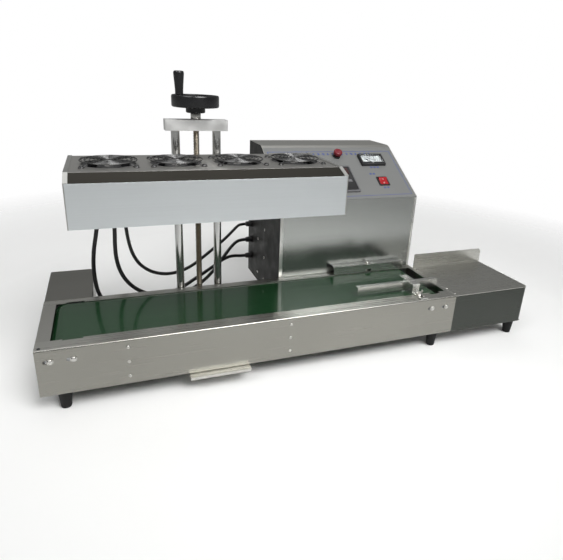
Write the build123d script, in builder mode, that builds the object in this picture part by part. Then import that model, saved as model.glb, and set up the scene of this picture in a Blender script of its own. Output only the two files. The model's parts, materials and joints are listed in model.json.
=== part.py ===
"""Tabletop induction sealing machine: a belt conveyor with an end table, a sealing head that a handwheel
raises and lowers on two guide rods, and a control box joined to the head by three hoses.

Millimetres. X runs along the conveyor, Y from its front to its back, Z up. The origin is on the surface that
the machine stands on, below the middle of its bounding box.
"""
from build123d import *
from math import atan2, cos, pi, radians, sin, sqrt, tan
import os

# ---------------------------------------------------------------- driving dimensions
LENGTH = 1005.0  # conveyor and end table together
CONVEYOR_LENGTH = 808.0
CONVEYOR_WIDTH = 191.0
SKIRT_HEIGHT = 86.0  # depth of the conveyor's side rails
FOOT_HEIGHT = 35.0
SHEET = 1.5  # thickness of every sheet-metal part
BEND_RADIUS = 2.5
FRONT_FLANGE = 30.0
REAR_FLANGE = 19.5
LEFT_FLANGE = 22.0
RIGHT_FLANGE = 9.0

ROLLER_RADIUS = 24.0
ROLLER_MARGIN = 2.0  # each end of a roller beyond the belt
ROLLER_INSET = 39.0  # left roller's axis from the left end
IDLER_INSET = 40.5  # right roller's axis from the right end
ROLLER_BOLT_SPREAD = 17.5  # each roller bolt from the roller's axis
ROLLER_SHAFT_RADIUS = 6.0
BELT_THICKNESS = 1.6
BELT_TUCK = 0.25  # each edge of the belt under its flange
BELT_SINK = 2.0  # belt's top below the flanges
RUNNING_GAP = 0.05  # radial clearance of anything that turns or slides on a shaft

BASE_LIP = 13.0  # how far the base plate sticks out in front
BASE_END = 16.75  # base plate beyond each rod's axis
BASE_THICKNESS = 6.0
COLUMN_X = 297.0  # lead screw from the left end
COLUMN_GAP = 9.0  # lead screw's axis behind the conveyor's back
ROD_SPACING = 78.5
ROD_RADIUS = 8.0
SCREW_RADIUS = 6.0
TOP_BLOCK_END = 19.5  # top block beyond each rod's axis
TOP_BLOCK = (ROD_SPACING + 2 * TOP_BLOCK_END, 26.0, 20.0)
TOP_BLOCK_RISE = 319.0  # its underside above the deck

HEAD_LEFT = 69.5
HEAD_LENGTH = 458.0
HEAD_FRONT = 1.0
HEAD_CLEAR = 12.5  # head's back in front of the lead screw's axis
HEAD_RISE = 194.0  # underside above the deck, as the head stands at rest
HEAD_FACE = 70.0  # height of the front face
STRIP_DEPTH = 28.0  # sloped strip between front face and top
STRIP_HEIGHT = 11.0
CAP_LIP = 7.0
CAP_PROUD = 1.0
FAN_SIZE = 92.0
FAN_THICKNESS = 25.0
FAN_HOLE_PITCH = FAN_SIZE - 2 * 4.75
FAN_WALL = 2.5  # the frame's wall beside its bore
FAN_BORE = FAN_SIZE / 2 - FAN_WALL
FAN_SPACING = 17.4  # between two frames
FAN_COUNT = 4
FAN_SHIFT = 1.1  # the row of fans to the right of the head's middle
FAN_Y = 104.0
GUARD_RISE = 7.0
GUARD_WIRE = 0.9

WHEEL_RADIUS = 44.0
WHEEL_HEIGHT = 22.0
WHEEL_HUB_RADIUS = 18.0
WHEEL_HUB_HEIGHT = 10.0
COLLAR_HEIGHT = 12.0
COLLAR_RADIUS = 9.5
GRIP_LENGTH = 41.5
GRIP_RADII = (7.5, 9.5)  # foot and top
GRIP_OFFSET = 35.0
GRIP_ANGLE = 206.0  # where the grip stands on the wheel, anticlockwise from +X

BOX_LEFT = 472.0
BOX_WIDTH = 338.5
BOX_GAP = 1.5  # between the conveyor's back and the box
BOX_DEPTH = 250.0
BOX_RISE = 13.0  # box floor above the conveyor's lower edge
BOX_FACE_TOP = 172.0
SLOPE_DEPTH = 152.5
BOX_TOP = 269.5
TOP_BEND_RADIUS = 30.0

TABLE_DEPTH = 167.0
UPSTAND = 35.0
TABLE_CORNER = 10.0

MOTOR_COVER_WIDTH = 87.0
MOTOR_COVER_DEPTH = 152.0
MOTOR_RADIUS = 34.0

GUIDE_LEFT = 599.0
FRONT_GUIDE_LENGTH = 196.0
REAR_GUIDE_LENGTH = 181.0
GUIDE_HEIGHT = 18.0
FRONT_GUIDE_Y = 55.0
REAR_GUIDE_Y = CONVEYOR_WIDTH - 19.0
GUIDE_LIFT = 1.0  # guides above the deck
FRONT_TRAVEL = (-8.0, 12.0)
REAR_TRAVEL = (-5.0, 0.0)
CLAMP_X = 728.5
CLAMP_Y = 22.0
REAR_CLAMP_X = 688.0
REAR_CLAMP_Y = CONVEYOR_WIDTH - 10.0
CLAMP_RADIUS = 3.0
CLAMP_GAP = 0.4
CLAMP_DEPTH = 5.0  # how far a clamp's shank reaches below the deck

HOSE_RADII = {"motor_hose": 4.0, "coil_hose_left": 4.0, "coil_hose_right": 3.5}
FITTING_X = {"motor_hose": 118.0, "coil_hose_left": 138.0, "coil_hose_right": 158.0}
FITTING_RISE = 222.0
FITTING_LENGTH = 12.0
GLAND_RISE = {"motor_hose": 20.0, "coil_hose_left": -24.0, "coil_hose_right": 62.0}
GLAND_Y = 410.0
GLAND_LENGTH = 17.0

# ---------------------------------------------------------------- places that follow
LEFT = -LENGTH / 2
RIGHT = LENGTH / 2
DEPTH = BASE_LIP + CONVEYOR_WIDTH + BOX_GAP + BOX_DEPTH
FRONT = -DEPTH / 2 + BASE_LIP  # front face of the conveyor
BACK = FRONT + CONVEYOR_WIDTH
DECK = FOOT_HEIGHT + SKIRT_HEIGHT  # top of the conveyor's flanges
SEAM = LEFT + CONVEYOR_LENGTH  # where the table starts
INNER_FRONT = FRONT + SHEET
INNER_BACK = BACK - SHEET

BELT_TOP = DECK - BELT_SINK
BELT_RADIUS = ROLLER_RADIUS + RUNNING_GAP + BELT_THICKNESS
ROLLER_Z = BELT_TOP - BELT_RADIUS
DRIVE_X = LEFT + ROLLER_INSET
IDLER_X = SEAM - IDLER_INSET
BELT_MID_Y = (FRONT + FRONT_FLANGE + BACK - REAR_FLANGE) / 2
BELT_WIDTH = CONVEYOR_WIDTH - FRONT_FLANGE - REAR_FLANGE + 2 * BELT_TUCK
ROLLER_LENGTH = BELT_WIDTH + 2 * ROLLER_MARGIN

SCREW_X = LEFT + COLUMN_X
SCREW_Y = BACK + COLUMN_GAP
ROD_X = (SCREW_X - ROD_SPACING / 2, SCREW_X + ROD_SPACING / 2)
TOP_BLOCK_Z = DECK + TOP_BLOCK_RISE
COLLAR_Z = TOP_BLOCK_Z + TOP_BLOCK[2] + RUNNING_GAP
HUB_Z = COLLAR_Z + COLLAR_HEIGHT
WHEEL_Z = HUB_Z + WHEEL_HUB_HEIGHT

HEAD_X0 = LEFT + HEAD_LEFT
HEAD_X1 = HEAD_X0 + HEAD_LENGTH
HEAD_Y0 = FRONT + HEAD_FRONT
HEAD_Y1 = SCREW_Y - HEAD_CLEAR
HEAD_DEPTH = HEAD_Y1 - HEAD_Y0
HEAD_Z0 = DECK + HEAD_RISE
HEAD_TOP = HEAD_Z0 + HEAD_FACE + STRIP_HEIGHT
FAN_ROW_X = (HEAD_X0 + HEAD_X1) / 2 + FAN_SHIFT
FAN_PITCH = FAN_SIZE + FAN_SPACING
FANS = [(FAN_ROW_X + (i - (FAN_COUNT - 1) / 2) * FAN_PITCH, FRONT + FAN_Y) for i in range(FAN_COUNT)]

BOX_X0 = LEFT + BOX_LEFT
BOX_X1 = BOX_X0 + BOX_WIDTH
BOX_Y0 = BACK + BOX_GAP
BOX_Y1 = BOX_Y0 + BOX_DEPTH
BOX_Z0 = FOOT_HEIGHT + BOX_RISE
FACE_TOP = DECK + BOX_FACE_TOP
BOX_ROOF = DECK + BOX_TOP
SLOPE_Y = BOX_Y0 + SLOPE_DEPTH
SLOPE = atan2(BOX_ROOF - FACE_TOP, SLOPE_DEPTH)
# the control panel's plane: x along the box, y up the slope, from the slope's lower left corner
PANEL = Plane(
    origin=(BOX_X0, BOX_Y0, FACE_TOP),
    x_dir=(1, 0, 0),
    z_dir=(0, -sin(SLOPE), cos(SLOPE)),
)


# ---------------------------------------------------------------- helpers
def block(x, y, z, mode=Mode.ADD):
    """A box that fills the ranges x, y and z."""
    with Locations(((x[0] + x[1]) / 2, (y[0] + y[1]) / 2, (z[0] + z[1]) / 2)):
        Box(x[1] - x[0], y[1] - y[0], z[1] - z[0], mode=mode)


def round_bar(start, direction, radius, length, mode=Mode.ADD):
    """A cylinder from start along direction."""
    with BuildSketch(Plane(origin=start, z_dir=direction)) as section:
        Circle(radius)
    extrude(section.sketch, amount=length, mode=mode)


def ring(start, direction, outer, inner, length):
    """A tube from start along direction."""
    with BuildSketch(Plane(origin=start, z_dir=direction)) as section:
        Circle(outer)
        Circle(inner, mode=Mode.SUBTRACT)
    extrude(section.sketch, amount=length)


def finish(piece, name):
    """Labels a finished sub-part and writes its file."""
    piece.part.label = name
    export_step(piece.part, f"parts/{name}.step")


def span(start, length):
    return (start, start + length)


os.makedirs("parts", exist_ok=True)

# ---------------------------------------------------------------- conveyor rails
SKIRT_SCREW_X = (141.0, 432.5)
SKIRT_SCREW_TOP = 14.0
SKIRT_SCREW_LOW = 16.0  # the lowest screw above the rail's lower edge
SKIRT_SCREW_DROP = (
    SKIRT_SCREW_TOP,
    (SKIRT_SCREW_TOP + SKIRT_HEIGHT - SKIRT_SCREW_LOW) / 2,
    SKIRT_HEIGHT - SKIRT_SCREW_LOW,
)
SCREW_HOLE = 2.6
ROLLER_BOLT_DROP = 22.0
SLOT_LENGTH = 14.0
SLOT_HEIGHT = 6.4
NOTCH_GAP = 0.5  # round each cross rail, where it passes through the back rail
CROSS_RAIL_WIDTH = 28.0
CROSS_RAIL_Z = (FOOT_HEIGHT + SHEET, BOX_Z0)
CROSS_RAIL_INSET = 45.0  # cross rails from the box's sides
CROSS_RAIL_X = (BOX_X0 + CROSS_RAIL_INSET, BOX_X1 - CROSS_RAIL_INSET)
SHAFT_HOLE = 9.0


def rail(web_outside, inward, flange, bolt_slots):
    """C-section rail: its web stands at web_outside and its flanges point inward."""
    middle = web_outside + inward * flange / 2
    with BuildPart() as piece:
        with BuildSketch(Plane.YZ.offset(LEFT)):
            with Locations((middle, DECK - SKIRT_HEIGHT / 2)):
                Rectangle(flange, SKIRT_HEIGHT)
            outer = [v for v in vertices() if min(abs(v.X - web_outside), abs(v.Y - web_outside)) < 0.01]
            fillet(outer, BEND_RADIUS)
            with Locations((middle + inward * SHEET, DECK - SKIRT_HEIGHT / 2)):
                Rectangle(flange, SKIRT_HEIGHT - 2 * SHEET, mode=Mode.SUBTRACT)
        extrude(amount=CONVEYOR_LENGTH)
        web = Plane(origin=(0, web_outside, 0), x_dir=(1, 0, 0), z_dir=(0, -1, 0))
        with BuildSketch(web.offset(-SHEET * inward * 2)):
            for x in SKIRT_SCREW_X:
                for drop in SKIRT_SCREW_DROP:
                    with Locations((LEFT + x, DECK - drop)):
                        Circle(SCREW_HOLE)
            for axis in (DRIVE_X, IDLER_X) if bolt_slots else ():
                for side in (-1, 1):
                    shift = SLOT_HEIGHT / 2 - SLOT_LENGTH / 2 + 0.1
                    with Locations((axis + side * ROLLER_BOLT_SPREAD + shift, DECK - ROLLER_BOLT_DROP)):
                        SlotOverall(SLOT_LENGTH, SLOT_HEIGHT)
        extrude(amount=4 * SHEET, both=True, mode=Mode.SUBTRACT)
    return piece


def clamp_hole(x, y):
    """The tapped hole of a guide's clamp in the flange under it."""
    hole = CLAMP_RADIUS + RUNNING_GAP
    round_bar((LEFT + x, FRONT + y, DECK - SHEET - 1), (0, 0, 1), hole, SHEET + 2, Mode.SUBTRACT)


NOTCH_LEFT = (40.0, 72.0)  # the flanges' notches beside the belt, from the conveyor's left end
NOTCH_RIGHT = (758.0, 782.0)
NOTCH_WIDTH = 3.5
WIDE_NOTCH = 8.0


def belt_notch(along, edge, width):
    """Cuts a notch into the inner edge of a flange; width is negative for a cut towards the front."""
    sides = sorted((edge - width, edge + width / 10))
    block((LEFT + along[0], LEFT + along[1]), sides, (DECK - SHEET - 1, DECK + 1), Mode.SUBTRACT)


front_rail = rail(FRONT, 1, FRONT_FLANGE, True)
with front_rail:
    belt_notch(NOTCH_LEFT, FRONT + FRONT_FLANGE, NOTCH_WIDTH)
    belt_notch(NOTCH_RIGHT, FRONT + FRONT_FLANGE, WIDE_NOTCH)
    clamp_hole(CLAMP_X, CLAMP_Y)
finish(front_rail, "front_rail")

rear_rail = rail(BACK, -1, REAR_FLANGE, False)
with rear_rail:
    belt_notch(NOTCH_LEFT, BACK - REAR_FLANGE, -NOTCH_WIDTH)
    round_bar((DRIVE_X, BACK + 1, ROLLER_Z), (0, -1, 0), SHAFT_HOLE, SHEET + 2, Mode.SUBTRACT)
    for x in CROSS_RAIL_X:
        half = CROSS_RAIL_WIDTH / 2 + NOTCH_GAP
        notch_z = (CROSS_RAIL_Z[0], CROSS_RAIL_Z[1] + NOTCH_GAP)
        block((x - half, x + half), (INNER_BACK - 1, BACK + 1), notch_z, Mode.SUBTRACT)
    clamp_hole(REAR_CLAMP_X, REAR_CLAMP_Y)
finish(rear_rail, "rear_rail")

# ---------------------------------------------------------------- end plates of the conveyor
with BuildPart() as conveyor_end_plates:
    for wall, flange in ((span(LEFT, SHEET), span(LEFT, LEFT_FLANGE)),
                         (span(SEAM - SHEET, SHEET), span(SEAM - RIGHT_FLANGE, RIGHT_FLANGE))):
        block(wall, (INNER_FRONT, INNER_BACK), (FOOT_HEIGHT + SHEET, DECK - SHEET))
        block(flange, (FRONT + FRONT_FLANGE, BACK - REAR_FLANGE), (DECK - SHEET, DECK))
finish(conveyor_end_plates, "conveyor_end_plates")

# ---------------------------------------------------------------- rollers and belt
SHAFT_START = 3.0
COUPLING_RADIUS = 12.0
COUPLING_LENGTH = 20.0
SHAFT_IN_GEARBOX = 12.0
GEARBOX_Y = BACK + 30
BRACKET = (50.0, 12.0, 40.0)


def roller(axis_x, shaft_end):
    """A roller with its shaft, which ends at the given Y."""
    start = FRONT + SHAFT_START
    with BuildPart() as piece:
        round_bar((axis_x, BELT_MID_Y - ROLLER_LENGTH / 2, ROLLER_Z), (0, 1, 0), ROLLER_RADIUS, ROLLER_LENGTH)
        round_bar((axis_x, start, ROLLER_Z), (0, 1, 0), ROLLER_SHAFT_RADIUS, shaft_end - start)
    return piece


drive_roller = roller(DRIVE_X, GEARBOX_Y + SHAFT_IN_GEARBOX)
with drive_roller:
    round_bar((DRIVE_X, BACK + 5, ROLLER_Z), (0, 1, 0), COUPLING_RADIUS, COUPLING_LENGTH)
finish(drive_roller, "drive_roller")

idler_roller = roller(IDLER_X, BACK - SHAFT_START)
finish(idler_roller, "idler_roller")

BRACKET_SINK = 2.0
with BuildPart() as roller_brackets:
    for axis in (DRIVE_X, IDLER_X):
        for y in (INNER_FRONT, INNER_BACK - BRACKET[1]):
            top = DECK - SHEET - BRACKET_SINK
            block((axis - BRACKET[0] / 2, axis + BRACKET[0] / 2), span(y, BRACKET[1]), (top - BRACKET[2], top))
            bore = ROLLER_SHAFT_RADIUS + RUNNING_GAP
        round_bar((axis, FRONT, ROLLER_Z), (0, 1, 0), bore, CONVEYOR_WIDTH, Mode.SUBTRACT)
finish(roller_brackets, "roller_brackets")

with BuildPart() as conveyor_belt:
    with BuildSketch(Plane(origin=(0, BELT_MID_Y, 0), x_dir=(1, 0, 0), z_dir=(0, -1, 0))):
        with Locations(((DRIVE_X + IDLER_X) / 2, ROLLER_Z)):
            SlotCenterToCenter(IDLER_X - DRIVE_X, 2 * BELT_RADIUS)
            SlotCenterToCenter(IDLER_X - DRIVE_X, 2 * (BELT_RADIUS - BELT_THICKNESS), mode=Mode.SUBTRACT)
    extrude(amount=BELT_WIDTH / 2, both=True)
finish(conveyor_belt, "conveyor_belt")

# ---------------------------------------------------------------- slider bed under the belt
BED_END_GAP = 32.0
BED_GAP = 0.3
BED_Z = BELT_TOP - BELT_THICKNESS - BED_GAP
CROSSBAR = (24.0, 30.0)
CROSSBAR_WALL = 2.0
with BuildPart() as slider_bed:
    bed_x = (DRIVE_X + BED_END_GAP, IDLER_X - BED_END_GAP)
    block(bed_x, (FRONT + FRONT_FLANGE, BACK - REAR_FLANGE), (BED_Z - SHEET, BED_Z))
finish(slider_bed, "slider_bed")

with BuildPart() as bed_crossbars:
    for x in SKIRT_SCREW_X:
        with BuildSketch(Plane(origin=(LEFT + x, INNER_FRONT, BED_Z - SHEET - CROSSBAR[1] / 2), z_dir=(0, 1, 0))):
            Rectangle(*CROSSBAR)
            Rectangle(CROSSBAR[0] - 2 * CROSSBAR_WALL, CROSSBAR[1] - 2 * CROSSBAR_WALL, mode=Mode.SUBTRACT)
    extrude(amount=INNER_BACK - INNER_FRONT)
finish(bed_crossbars, "bed_crossbars")

# ---------------------------------------------------------------- screws of the conveyor
HEAD_RADIUS = 4.2
BOLT_HEAD_RADIUS = 4.6


def dome_screw(face, direction, head_radius, shank_radius, shank):
    """A round-headed screw whose head stands on a face, with its shank behind."""
    round_bar(face, direction, head_radius, 1.0)
    tip = tuple(f + d * 1.0 for f, d in zip(face, direction))
    with BuildSketch(Plane(origin=tip, z_dir=direction)) as section:
        Circle(head_radius)
    extrude(section.sketch, amount=head_radius * 0.45, taper=35)
    round_bar(face, tuple(-d for d in direction), shank_radius, shank)


with BuildPart() as conveyor_screws:
    for y, outward in ((FRONT, -1), (BACK, 1)):
        for x in SKIRT_SCREW_X:
            for drop in SKIRT_SCREW_DROP:
                dome_screw((LEFT + x, y, DECK - drop), (0, outward, 0), HEAD_RADIUS * 0.7, SCREW_HOLE, SHEET)
        if outward < 0:
            for axis in (DRIVE_X, IDLER_X):
                for side in (-1, 1):
                    spot = (axis + side * ROLLER_BOLT_SPREAD, y, DECK - ROLLER_BOLT_DROP)
                    dome_screw(spot, (0, outward, 0), BOLT_HEAD_RADIUS, SLOT_HEIGHT / 2 - 0.1, SHEET)
finish(conveyor_screws, "conveyor_screws")

# ---------------------------------------------------------------- base plate, column and lead screw
BASE_TAIL = 25.0  # base plate behind the column
BASE_CORNER = 3.0
with BuildPart() as base_plate:
    block(
        (ROD_X[0] - BASE_END, ROD_X[1] + BASE_END),
        (FRONT - BASE_LIP, SCREW_Y + BASE_TAIL),
        (FOOT_HEIGHT - BASE_THICKNESS, FOOT_HEIGHT),
    )
    fillet(edges().filter_by(Axis.Z), BASE_CORNER)
finish(base_plate, "base_plate")

ROD_SEAT = 15.0  # how deep the rods sit in the top block
with BuildPart() as guide_rods:
    for x in ROD_X:
        round_bar((x, SCREW_Y, FOOT_HEIGHT), (0, 0, 1), ROD_RADIUS, TOP_BLOCK_Z + ROD_SEAT - FOOT_HEIGHT)
finish(guide_rods, "guide_rods")

BUSH_WALL = 3.0
with BuildPart() as top_block:
    with Locations((SCREW_X, SCREW_Y, TOP_BLOCK_Z + TOP_BLOCK[2] / 2)):
        Box(*TOP_BLOCK)
    chamfer(edges().filter_by(Axis.Z), 0.8)
    for x in ROD_X:
        round_bar((x, SCREW_Y, TOP_BLOCK_Z), (0, 0, 1), ROD_RADIUS, ROD_SEAT, Mode.SUBTRACT)
    start = (SCREW_X, SCREW_Y, TOP_BLOCK_Z)
    round_bar(start, (0, 0, 1), SCREW_RADIUS + BUSH_WALL, TOP_BLOCK[2], Mode.SUBTRACT)
finish(top_block, "top_block")

FOOT_BEARING = (44.0, 17.0, 18.0)
SCREW_FOOT = 5.0  # lead screw's lower end above the base plate
with BuildPart() as screw_bearings:
    bush = (SCREW_X, SCREW_Y, TOP_BLOCK_Z)
    ring(bush, (0, 0, 1), SCREW_RADIUS + BUSH_WALL, SCREW_RADIUS + RUNNING_GAP, TOP_BLOCK[2])
    with Locations((SCREW_X, SCREW_Y, FOOT_HEIGHT + FOOT_BEARING[2] / 2)):
        Box(*FOOT_BEARING)
    start = (SCREW_X, SCREW_Y, FOOT_HEIGHT + SCREW_FOOT - RUNNING_GAP)
    round_bar(start, (0, 0, 1), SCREW_RADIUS + RUNNING_GAP, FOOT_BEARING[2], Mode.SUBTRACT)
finish(screw_bearings, "screw_bearings")

SCREW_IN_WHEEL = 8.0
with BuildPart() as lead_screw:
    foot = FOOT_HEIGHT + SCREW_FOOT
    round_bar((SCREW_X, SCREW_Y, foot), (0, 0, 1), SCREW_RADIUS, HUB_Z + SCREW_IN_WHEEL - foot)
    round_bar((SCREW_X, SCREW_Y, COLLAR_Z), (0, 0, 1), COLLAR_RADIUS, COLLAR_HEIGHT)
finish(lead_screw, "lead_screw")

# ---------------------------------------------------------------- handwheel and its turning grip
RIM_WIDTH = 11.0
WEB_THICKNESS = 6.0
PIN_RADIUS = 3.0
PIN_SHARE = 0.7  # how much of the grip its pin reaches into
grip_x = SCREW_X + GRIP_OFFSET * cos(radians(GRIP_ANGLE))
grip_y = SCREW_Y + GRIP_OFFSET * sin(radians(GRIP_ANGLE))
GRIP_Z = WHEEL_Z + WHEEL_HEIGHT
with BuildPart() as handwheel:
    round_bar((SCREW_X, SCREW_Y, HUB_Z), (0, 0, 1), WHEEL_HUB_RADIUS, WHEEL_HUB_HEIGHT + WEB_THICKNESS)
    round_bar((SCREW_X, SCREW_Y, WHEEL_Z), (0, 0, 1), WHEEL_RADIUS, WHEEL_HEIGHT)
    with BuildSketch(Plane.XY.offset(WHEEL_Z + WHEEL_HEIGHT)):
        with Locations((SCREW_X, SCREW_Y)):
            Circle(WHEEL_RADIUS - RIM_WIDTH / 3)
    extrude(amount=-(WHEEL_HEIGHT - WEB_THICKNESS), mode=Mode.SUBTRACT)
    round_bar((SCREW_X, SCREW_Y, WHEEL_Z), (0, 0, 1), SCREW_RADIUS + 6, WHEEL_HEIGHT - 2)
    round_bar((grip_x, grip_y, WHEEL_Z), (0, 0, 1), GRIP_RADII[0], WHEEL_HEIGHT)
    fillet(edges().filter_by(GeomType.CIRCLE).group_by(SortBy.RADIUS)[-1], 1.5)
    round_bar((SCREW_X, SCREW_Y, HUB_Z), (0, 0, 1), SCREW_RADIUS, SCREW_IN_WHEEL, Mode.SUBTRACT)
    round_bar((grip_x, grip_y, GRIP_Z), (0, 0, 1), PIN_RADIUS, GRIP_LENGTH * PIN_SHARE)
finish(handwheel, "handwheel")

GRIP_GAP = 0.3
with BuildPart() as crank_grip:
    with BuildSketch(Plane(origin=(grip_x, grip_y, GRIP_Z + GRIP_GAP))):
        Circle(GRIP_RADII[0])
    with BuildSketch(Plane(origin=(grip_x, grip_y, GRIP_Z + GRIP_LENGTH))):
        Circle(GRIP_RADII[1])
    loft()
    fillet(edges().group_by(Axis.Z)[-1], 2.5)
    socket = GRIP_LENGTH * PIN_SHARE + 0.5
    round_bar((grip_x, grip_y, GRIP_Z), (0, 0, 1), PIN_RADIUS + RUNNING_GAP, socket, Mode.SUBTRACT)
finish(crank_grip, "crank_grip")

# ---------------------------------------------------------------- sealing head
CAP_THICKNESS = SHEET
SLANT = atan2(STRIP_HEIGHT, STRIP_DEPTH)
STRIP_TOP_Y = HEAD_Y0 + STRIP_DEPTH
FACE_Z = HEAD_Z0 + HEAD_FACE
HEAD_INNER = (HEAD_X0 + CAP_THICKNESS, HEAD_X1 - CAP_THICKNESS)
BOARD_THICKNESS = 4.0


def head_outline(grow=0.0):
    """The head's section, closed, as points (y, z)."""
    return [
        (HEAD_Y0, HEAD_Z0),
        (HEAD_Y0, FACE_Z),
        (STRIP_TOP_Y, HEAD_TOP + grow),
        (HEAD_Y1, HEAD_TOP + grow),
        (HEAD_Y1, HEAD_Z0),
    ]


with BuildPart() as head_front_panel:
    with BuildSketch(Plane.YZ.offset(HEAD_INNER[0])):
        with BuildLine():
            Polyline(
                (HEAD_Y0, HEAD_Z0),
                (HEAD_Y0, FACE_Z),
                (STRIP_TOP_Y, HEAD_TOP),
                (STRIP_TOP_Y, HEAD_TOP - SHEET / cos(SLANT)),
                (HEAD_Y0 + SHEET, FACE_Z + SHEET * tan(SLANT) - SHEET / cos(SLANT)),
                (HEAD_Y0 + SHEET, HEAD_Z0),
                close=True,
            )
        make_face()
    extrude(amount=HEAD_INNER[1] - HEAD_INNER[0])
finish(head_front_panel, "head_front_panel")

FAN_SCREW_HOLE = 2.2
with BuildPart() as head_cover:
    block(HEAD_INNER, (STRIP_TOP_Y, HEAD_Y1), (HEAD_TOP - SHEET, HEAD_TOP))
    block(HEAD_INNER, (HEAD_Y1 - SHEET, HEAD_Y1), (HEAD_Z0, HEAD_TOP))
    with BuildSketch(Plane.XY.offset(HEAD_TOP + 1)):
        with Locations(*FANS):
            Circle(FAN_BORE)
    extrude(amount=-(SHEET + 2), mode=Mode.SUBTRACT)
finish(head_cover, "head_cover")

with BuildPart() as head_end_caps:
    for x, lip_start in ((HEAD_X0, HEAD_X0), (HEAD_X1 - CAP_THICKNESS, HEAD_X1 - CAP_LIP)):
        with BuildSketch(Plane.YZ.offset(x)):
            with BuildLine():
                Polyline(*head_outline(), close=True)
            make_face()
        extrude(amount=CAP_THICKNESS)
        with BuildSketch(Plane.YZ.offset(lip_start)):
            with BuildLine():
                Polyline(
                    (HEAD_Y0, FACE_Z),
                    (HEAD_Y0, FACE_Z + CAP_PROUD),
                    (STRIP_TOP_Y, HEAD_TOP + CAP_PROUD),
                    (HEAD_Y1, HEAD_TOP + CAP_PROUD),
                    (HEAD_Y1, HEAD_TOP),
                    (STRIP_TOP_Y, HEAD_TOP),
                    close=True,
                )
            make_face()
        extrude(amount=CAP_LIP)
finish(head_end_caps, "head_end_caps")

with BuildPart() as head_bottom_plate:
    block(HEAD_INNER, (HEAD_Y0 + SHEET, HEAD_Y1 - SHEET), span(HEAD_Z0, BOARD_THICKNESS))
finish(head_bottom_plate, "head_bottom_plate")

COIL_MARGIN = 30.0
COIL_BAND = 26.0
COIL_HEIGHT = 8.0
COIL_Z = HEAD_Z0 + BOARD_THICKNESS
with BuildPart() as induction_coil:
    with BuildSketch(Plane.XY.offset(COIL_Z)):
        with Locations(((HEAD_X0 + HEAD_X1) / 2, (HEAD_Y0 + HEAD_Y1) / 2)):
            SlotOverall(HEAD_LENGTH - 2 * COIL_MARGIN, HEAD_DEPTH - 2 * COIL_MARGIN)
            inner = 2 * (COIL_MARGIN + COIL_BAND)
            SlotOverall(HEAD_LENGTH - inner, HEAD_DEPTH - inner, mode=Mode.SUBTRACT)
    extrude(amount=COIL_HEIGHT)
finish(induction_coil, "induction_coil")

FERRITE = (20.0, 150.0, 9.0)
FERRITE_COUNT = 7
with BuildPart() as ferrite_bars:
    with Locations(((HEAD_X0 + HEAD_X1) / 2, (HEAD_Y0 + HEAD_Y1) / 2, COIL_Z + COIL_HEIGHT + FERRITE[2] / 2)):
        with GridLocations(HEAD_LENGTH / (FERRITE_COUNT + 1), 0, FERRITE_COUNT, 1):
            Box(*FERRITE)
finish(ferrite_bars, "ferrite_bars")

# ---------------------------------------------------------------- cooling fans
FAN_TOP = HEAD_TOP - SHEET
FAN_BOTTOM = FAN_TOP - FAN_THICKNESS
HUB_RADIUS = 20.0
STRUT = 3.0
BLADE_COUNT = 7
BLADE_TIP = FAN_BORE - 2.5
BLADE_PITCH = 38.0

with BuildPart() as fan_frames:
    for x, y in FANS:
        with BuildSketch(Plane.XY.offset(FAN_BOTTOM)):
            with Locations((x, y)):
                RectangleRounded(FAN_SIZE, FAN_SIZE, 4)
                Circle(FAN_BORE, mode=Mode.SUBTRACT)
                with GridLocations(FAN_HOLE_PITCH, FAN_HOLE_PITCH, 2, 2):
                    Circle(FAN_SCREW_HOLE, mode=Mode.SUBTRACT)
        extrude(amount=FAN_THICKNESS)
        with BuildSketch(Plane.XY.offset(FAN_BOTTOM)):
            with Locations((x, y)):
                Circle(HUB_RADIUS)
                with PolarLocations(0, 2, start_angle=45):
                    Rectangle(2 * FAN_BORE + 2, 5)
        extrude(amount=STRUT)
finish(fan_frames, "fan_frames")

for number, (x, y) in enumerate(FANS, start=1):
    with BuildPart() as fan_impeller:
        bottom = FAN_BOTTOM + STRUT + 1
        height = FAN_THICKNESS - STRUT - 3
        round_bar((x, y, bottom), (0, 0, 1), HUB_RADIUS, height)
        for i in range(BLADE_COUNT):
            turn = 360 * i / BLADE_COUNT
            middle = (HUB_RADIUS + BLADE_TIP) / 2 - 1
            around = Location((x, y, bottom + height / 2), (0, 0, turn))
            place = around * Location((middle, 0, 0), (BLADE_PITCH, 0, 0))
            with Locations(place):
                Box(BLADE_TIP - HUB_RADIUS + 1, 22, 1.6)
    finish(fan_impeller, f"fan_impeller_{number}")

RING_COUNT = 5
RING_INNER = 14.0
RING_STEP = (FAN_BORE + 1.5 - RING_INNER) / (RING_COUNT - 1)
RING_RADII = [RING_INNER + i * RING_STEP for i in range(RING_COUNT)]
POST_RADIUS = 3.6
with BuildPart() as fan_guards:
    crown = HEAD_TOP + GUARD_RISE - GUARD_WIRE
    reach = FAN_HOLE_PITCH / sqrt(2)
    for x, y in FANS:
        for radius in RING_RADII:
            with Locations((x, y, crown)):
                Torus(radius, GUARD_WIRE)
        for turn in (45, 135):
            across = Vector(cos(radians(turn)), sin(radians(turn)), 0)
            start = Vector(x, y, crown) - across * reach
            round_bar(start, across, GUARD_WIRE * 1.1, 2 * reach)
        with Locations((x, y, (HEAD_TOP + crown + GUARD_WIRE) / 2)):
            with GridLocations(FAN_HOLE_PITCH, FAN_HOLE_PITCH, 2, 2):
                Cylinder(POST_RADIUS, crown + GUARD_WIRE - HEAD_TOP)
finish(fan_guards, "fan_guards")

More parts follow.
